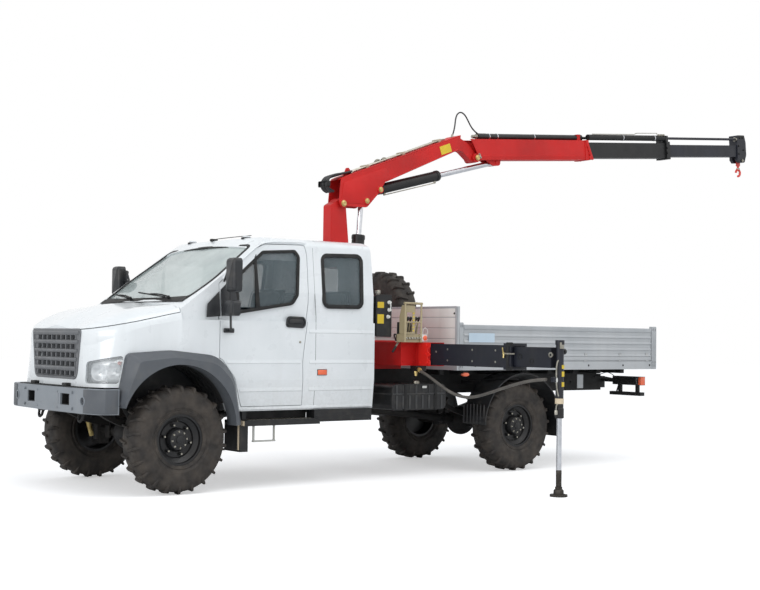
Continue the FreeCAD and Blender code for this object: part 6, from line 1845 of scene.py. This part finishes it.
# %% Steps and tank
STIRRUP_REAR, STIRRUP_FRONT, STIRRUP_TOP = at(-1100, 0, 0).x, at(-820, 0, 0).x, 0.64
STIRRUP_PALE = sprayed_enamel("stirrup_pale_grey_enamel", "b9bab5", "a5a6a1", 0.3, 0.2, 0.5, 0.1)
for side, label in SIDES:
    out = Y_AXIS * side
    tread_plate = block(f"board_tread_{label}", at(-1180, side * 975, 697), (880, 140, 6))
    ready(soften(tread_plate, 2, 1), BOX_BLACK)
    cleats = [block(f"cleat_{n}", at(-790 - 46 * n, side * 975, 701), (12, 124, 5)) for n in range(17)]
    ready(join(f"tread_cleats_{label}", [soften(c, 1.5, 1) for c in cleats]), ZINC_STEEL)
    nose_edge = block(f"board_front_edge_{label}", at(-712, side * 975, 668), (12, 146, 50))
    ready(soften(nose_edge, 3, 1), BAND_BEIGE)
    strip = block(f"flap_strip_{label}", at(-691, side * 975, 545), (8, 26, 290))
    ready(soften(strip, 2, 1), BAND_BEIGE)
    # Partly painted shade: a black plate behind the running board stands in for the dark chassis in shade
    # there.
    behind = block(f"underbody_plate_{label}", at(-1140, side * 872, 742), (880, 8, 106))
    ready(soften(behind, 2, 1), CHASSIS_BLACK)
    sill = [block(f"sill_{n}", at(-1955, side * 1026, 690 + 34 * n), (730, 10, 10)) for n in range(3)]
    ready(join(f"step_ribs_{label}", [soften(s, 2, 1) for s in sill]), BOX_BLACK)
refinish_faces("side_steps", STIRRUP_PALE,
    lambda spot: spot.z < STIRRUP_TOP and STIRRUP_REAR < spot.x < STIRRUP_FRONT)
TANK_PLASTIC = moulded_plastic("fuel_tank_black_rotomoulded_plastic", "3f4041", "353637", 9, 0.5, 0.25)
usual_slot("box_black", TANK_PLASTIC)
flange = frame_between("tank_flange", level(922, box_line(-3414, 556, -2626, 1006, 40)),
    level(922, box_line(-3400, 570, -2640, 990, 40)), (0, 0, 13))
ready(soften(flange, 3, 2), TANK_PLASTIC)
ribs = []
for number in range(8):
    x = -2700 - 92 * number
    upper = block(f"rib_up_{number}", at(x, 1000, 980), (9 if number % 3 else 26, 14, 92))
    lower = block(f"rib_low_{number}", at(x, 1000, 838), (26, 16, 148))
    ribs += [soften(upper, 4, 2), soften(lower, 6, 2)]
ready(join("tank_ribs", ribs), TANK_PLASTIC)
for number, x in enumerate((-2800, -3240)):
    strap_line = [(1012, 744), (1012, 1040), (900, 1044), (900, 1038), (1006, 1033), (1006, 750),
        (900, 746), (900, 740)]
    strap = slab(f"tank_strap_{number}", crosswise(x, strap_line), (-34, 0, 0))
    ready(soften(strap, 2, 1), CHASSIS_BLACK)
filler = spun("tank_filler", [(-4, 0.3), (-4, 40), (16, 42), (30, 38), (34, 20), (34, 0.3)],
    at(-3070, 880, 1035), Z_AXIS, 32)
ready(filler, ZINC_STEEL)
tank_tag = block("tank_blank_tag", at(-3090, 1008, 1003), (62, 3, 26))
ready(soften(tank_tag, 1, 1), CABLE_WHITE)

# %% Mudguards and chassis
MUDGUARD_RADIUS, MUDGUARD_HALF, FIRST_FOLD = 0.624, 0.19, 772
for side, label in SIDES:
    for number, angle in enumerate((38, 62, 86, 110, 134)):
        t = math.radians(angle)
        centre = at(-4515, side * 935, 530)
        spot = centre + Vector((math.cos(t), 0, math.sin(t))) * MUDGUARD_RADIUS
        rib = rod(f"mudguard_rib_{label}_{number}", spot - Y_AXIS * (side * MUDGUARD_HALF),
            spot + Y_AXIS * (side * MUDGUARD_HALF), 8, 8)
        ready(rib, BOX_BLACK)
    fold_spots = [(-3893 - 3 * n, side * (FIRST_FOLD + 54 * n)) for n in range(7)]
    folds = [rod("fold", at(*spot, 575), at(*spot, 790), 11, 10) for spot in fold_spots]
    ready(join(f"mudguard_folds_{label}", folds), BOX_BLACK)
    line = pipe(f"brake_line_{label}", spots((-2650, side * 470, 1010), (-3500, side * 470, 1000),
        (-3760, side * 480, 960), (-4060, side * 470, 900), (-4300, side * 520, 760),
        (-4420, side * 620, 640)), 9, 8)
    ready(line, HOSE_RUBBER)
rail_bolts = [hex_bolt(f"rail_bolt_{side}_{n}", at(-2500 - 320 * n, side * 432, 1010), Y_AXIS * side, 24,
    10) for side in (1, -1) for n in range(12)]
ready(join("chassis_rail_bolts", rail_bolts), CHASSIS_BLACK)
print("underbody done")

# %% [markdown]
# ## Seats and dashboard
# The seat pads are stuffed with cloth simulation: a slightly smaller shape is remeshed, blown up by
# pressure, its movement is capped, and the result is kept as a plain mesh. Piping is laid round it after.

# %% Pads
SEAT_PIPING = woven_cloth("seat_piping_dark_cord", "3b3d40", "2f3134")
usual_slot("seat_fabric", SEAT_PIPING)
CAP, PRESSURE, STEPS = 0.016, 4.0, 14


def stuffed(name, centre, size, tilt=0.0, voxel=14):
    """A seat pad: a rounded block remeshed and blown up by the Cloth modifier, its movement capped."""
    piece = soften(block(name, Vector((0, 0, 0)), [s - 20 for s in size]), min(size) * 0.3, 3)
    add_modifier(piece, "REMESH", mode="VOXEL", voxel_size=voxel * MM)
    start = [vertex.co.copy() for vertex in piece.data.vertices]
    only(piece)
    cloth = piece.modifiers.new("stuffing", "CLOTH")
    cloth.settings.use_pressure = True
    cloth.settings.uniform_pressure_force = PRESSURE
    cloth.settings.effector_weights.gravity = 0
    cloth.settings.quality = 4
    cloth.point_cache.frame_end = STEPS
    for frame in range(1, STEPS + 1):
        bpy.context.scene.frame_set(frame)
    bpy.ops.object.modifier_apply(modifier=cloth.name)
    bpy.context.scene.frame_set(1)
    for vertex, before in zip(piece.data.vertices, start):
        move = vertex.co - before
        if move.length > CAP:
            vertex.co = before + move.normalized() * CAP
    add_modifier(piece, "SMOOTH", factor=0.6, iterations=3)
    piece.data.transform(Matrix.Translation(centre) @ Matrix.Rotation(tilt, 4, "Y"))
    return piece


def pad_piping(name, centre, size, tilt, turn_face):
    """A cord round a pad's front face; turn_face says whether that face looks up or forward."""
    a, b, depth = (size[0], size[1], size[2]) if turn_face == "up" else (size[2], size[1], size[0])
    loop = rounded(box_line(-a / 2 + 14, -b / 2 + 14, a / 2 - 14, b / 2 - 14, 46), 5)
    loop.append(loop[0])
    lift = depth / 2 - 10
    points = [Vector((u, v, lift)) * MM if turn_face == "up" else Vector((lift, v, u)) * MM for u, v in loop]
    cord = pipe(name, points, 5, 8, False)
    cord.data.transform(Matrix.Translation(centre) @ Matrix.Rotation(tilt, 4, "Y"))
    return cord


BACK_TILT = math.radians(-13)
PADS = {"seat": ((-1010, 0, 1500), (510, 500, 120), math.radians(-3), "up"),
        "back": ((-1258, 0, 1785), (115, 480, 520), BACK_TILT, "forward"),
        "rest": ((-1330, 0, 2002), (70, 240, 110), BACK_TILT, "forward")}
patterns = {kind: stuffed(f"pad_{kind}", at(*place), size, tilt, 10 if kind == "rest" else 14)
    for kind, (place, size, tilt, way) in PADS.items()}
pipings = {kind: pad_piping(f"piping_{kind}", at(*place), size, tilt, way)
    for kind, (place, size, tilt, way) in PADS.items() if kind != "rest"}
BENCH = {"bench_seat": ((-1870, 0, 1500), (500, 1580, 120), math.radians(-3), "up"),
         "bench_back": ((-2102, 0, 1785), (110, 1560, 520), BACK_TILT, "forward")}
first = True
for label, move in (("driver", 0.5), ("mate", -0.52)):
    for kind, pattern in patterns.items():
        pad = copy_of(pattern, (0, move, 0))
        pad.name = f"{label}_{kind}"
        ready(pad, SEAT_CLOTH, replaces=("cab_interior",) if first else ())
        first = False
    for kind, pattern in pipings.items():
        cord = copy_of(pattern, (0, move, 0))
        cord.name = f"{label}_{kind}_piping"
        ready(cord, SEAT_PIPING)
    base = block(f"{label}_seat_base", at(-1010, move * 1000, 1300), (420, 400, 290))
    pick_faces(base, lambda c, n: n.z > 0.9)
    bpy.ops.transform.resize(value=(1.12, 1.15, 1), center_override=at(-1010, move * 1000, 1445))
    leave_edit()
    ready(soften(base, 12, 3), BOX_BLACK)
    frame = slab(f"{label}_seat_frame", upright(move * 1000 - 225,
        [(-1240, 1440, 20), (-1195, 1520, 20), (-1372, 2040, 20), (-1402, 2030, 20), (-1290, 1440, 20)]),
        (0, 450, 0))
    ready(soften(frame, 8, 2), BOX_BLACK)
for pattern in list(patterns.values()) + list(pipings.values()):
    bpy.data.objects.remove(pattern)
for kind, (place, size, tilt, way) in BENCH.items():
    pad = ready(stuffed(kind, at(*place), size, tilt, 18), SEAT_CLOTH)
    ready(pad_piping(f"{kind}_piping", at(*place), size, tilt, way), SEAT_PIPING)
bench_base = block("bench_base", at(-1890, 0, 1300), (440, 1500, 290))
ready(soften(bench_base, 14, 3), BOX_BLACK)
bench_frame = slab("bench_frame", upright(-770, [(-2090, 1440, 20), (-2050, 1520, 20), (-2190, 2050, 16),
    (-2216, 2045, 12), (-2150, 1440, 20)]), (0, 1540, 0))
ready(soften(bench_frame, 6, 2), BOX_BLACK)

# %% Dashboard and steering wheel
dash_line = rounded([(-135, 1365, 20), (-135, 1785, 40), (-250, 1800, 40), (-430, 1778, 60),
    (-478, 1700, 30), (-450, 1560, 40), (-330, 1370, 50)])
dash = slab("dashboard", upright(-935, dash_line), (0, 1870, 0))
ready(soften(dash, 10, 3), DASH_PLASTIC)
hood_line = rounded([(-470, 1770, 14), (-300, 1850, 50), (-220, 1800, 30), (-300, 1740, 30)])
hood = slab("instrument_hood", upright(300, hood_line), (0, 400, 0))
ready(soften(hood, 8, 3), DASH_PLASTIC)
panel = block("centre_panel", at(-458, 0, 1660), (30, 260, 180))
pick_faces(panel, lambda c, n: n.x < -0.9)
bpy.ops.mesh.inset(thickness=0.02)
bpy.ops.transform.translate(value=(0.008, 0, 0))
leave_edit()
ready(soften(panel, 4, 2), BOX_BLACK)
wheel_axis = Vector((-230, 0, 190)).normalized()
wheel_centre = at(-650, 500, 1790)
rim = spun("steering_rim", [(15 * math.cos(t), 190 + 15 * math.sin(t))
    for t in [math.tau * k / 12 for k in range(12)]] + [(15, 190)], wheel_centre, wheel_axis, 48)
spokes = [pipe(f"spoke_{n}", [wheel_centre - wheel_axis * 0.02,
    wheel_centre + (Y_AXIS * math.cos(t) + wheel_axis.cross(Y_AXIS) * math.sin(t)) * 0.186], 12, 8, False)
    for n, t in enumerate((0.15, math.pi - 0.15, math.pi * 1.5))]
hub = spun("steering_hub", [(-40, 0.3), (-40, 40), (-8, 62), (8, 58), (16, 30), (17, 0.3)], wheel_centre,
    wheel_axis, 32)
shaft = rod("steering_shaft", at(-430, 500, 1610), wheel_centre - wheel_axis * 0.03, 28, 20)
ready(join("steering_wheel", [rim, hub, shaft] + spokes), BOX_BLACK)
print("seats done")

# %% [markdown]
# ## Floor and light
# A pale floor and a soft, even light from above and from the nose, as in a studio. The background's white
# is what the camera, metal and glass see of the world; the light that reaches the lorry is a plain level
# of its own, so its colours come out as they are written.

# %% Floor
FLOOR_SIZE, FLOOR_LIFT = 120, 0.46
deselect_all()
bpy.ops.mesh.primitive_plane_add(size=FLOOR_SIZE, location=(0, 0, 0))
floor = active()
floor.name = "floor"
floor_material, floor_tree = start_material("floor_white_matt_paint")[:2]
floor_matt = add_node(floor_tree, "ShaderNodeBsdfDiffuse", {"Color": linear("ececec")})
seen_only = add_node(floor_tree, "ShaderNodeLightPath").outputs["Is Camera Ray"]
lift_up = add_node(floor_tree, "ShaderNodeMath", {1: FLOOR_LIFT}, {0: seen_only},
    operation="MULTIPLY").outputs[0]
floor_glow = add_node(floor_tree, "ShaderNodeEmission", None, {"Strength": lift_up})
floor_both = add_node(floor_tree, "ShaderNodeAddShader", None,
    {0: floor_matt.outputs[0], 1: floor_glow.outputs[0]})
add_node(floor_tree, "ShaderNodeOutputMaterial", None, {"Surface": floor_both.outputs[0]})
floor.data.materials.append(floor_material)

# %% Light
world = bpy.data.worlds.new("studio")
bpy.context.scene.world = world
world.use_nodes = True
sky = world.node_tree
sky.nodes.clear()
SEEN, SHINE, GLOW = (1.0, 1.0, 1.0, 1.0), (0.93, 0.96, 1.0, 1.0), 0.71
path = add_node(sky, "ShaderNodeLightPath").outputs
glassy = add_node(sky, "ShaderNodeMath", None, {0: path["Is Glossy Ray"], 1: path["Is Transmission Ray"]},
    operation="MAXIMUM")
seeing = add_node(sky, "ShaderNodeMath", None, {0: path["Is Camera Ray"], 1: glassy.outputs[0]},
    operation="MAXIMUM").outputs[0]
seen = add_node(sky, "ShaderNodeBackground", {"Color": SEEN, "Strength": 1.0})
glow = add_node(sky, "ShaderNodeBackground", {"Color": SHINE, "Strength": GLOW})
either = add_node(sky, "ShaderNodeMixShader", None, {0: seeing, 1: glow.outputs[0], 2: seen.outputs[0]})
add_node(sky, "ShaderNodeOutputWorld", None, {"Surface": either.outputs[0]})


def soft_lamp(name, place, target, size, power):
    data = bpy.data.lights.new(name, "AREA")
    data.shape = "RECTANGLE"
    data.size, data.size_y = size
    data.energy = power
    lamp = bpy.data.objects.new(name, data)
    bpy.context.scene.collection.objects.link(lamp)
    lamp.location = place
    lamp.rotation_euler = (Vector(target) - Vector(place)).to_track_quat("-Z", "Y").to_euler()
    return lamp


soft_lamp("overhead", (2, 6, 12), (0, 0, 1), (14, 8), 560)
soft_lamp("camera_side", (3, 15, 6), (0, 0, 1.5), (10, 5), 40)
soft_lamp("nose_side", (16, 5, 5), (4, 0, 1.5), (7, 4), 430)
bpy.context.scene.view_settings.view_transform = "Standard"
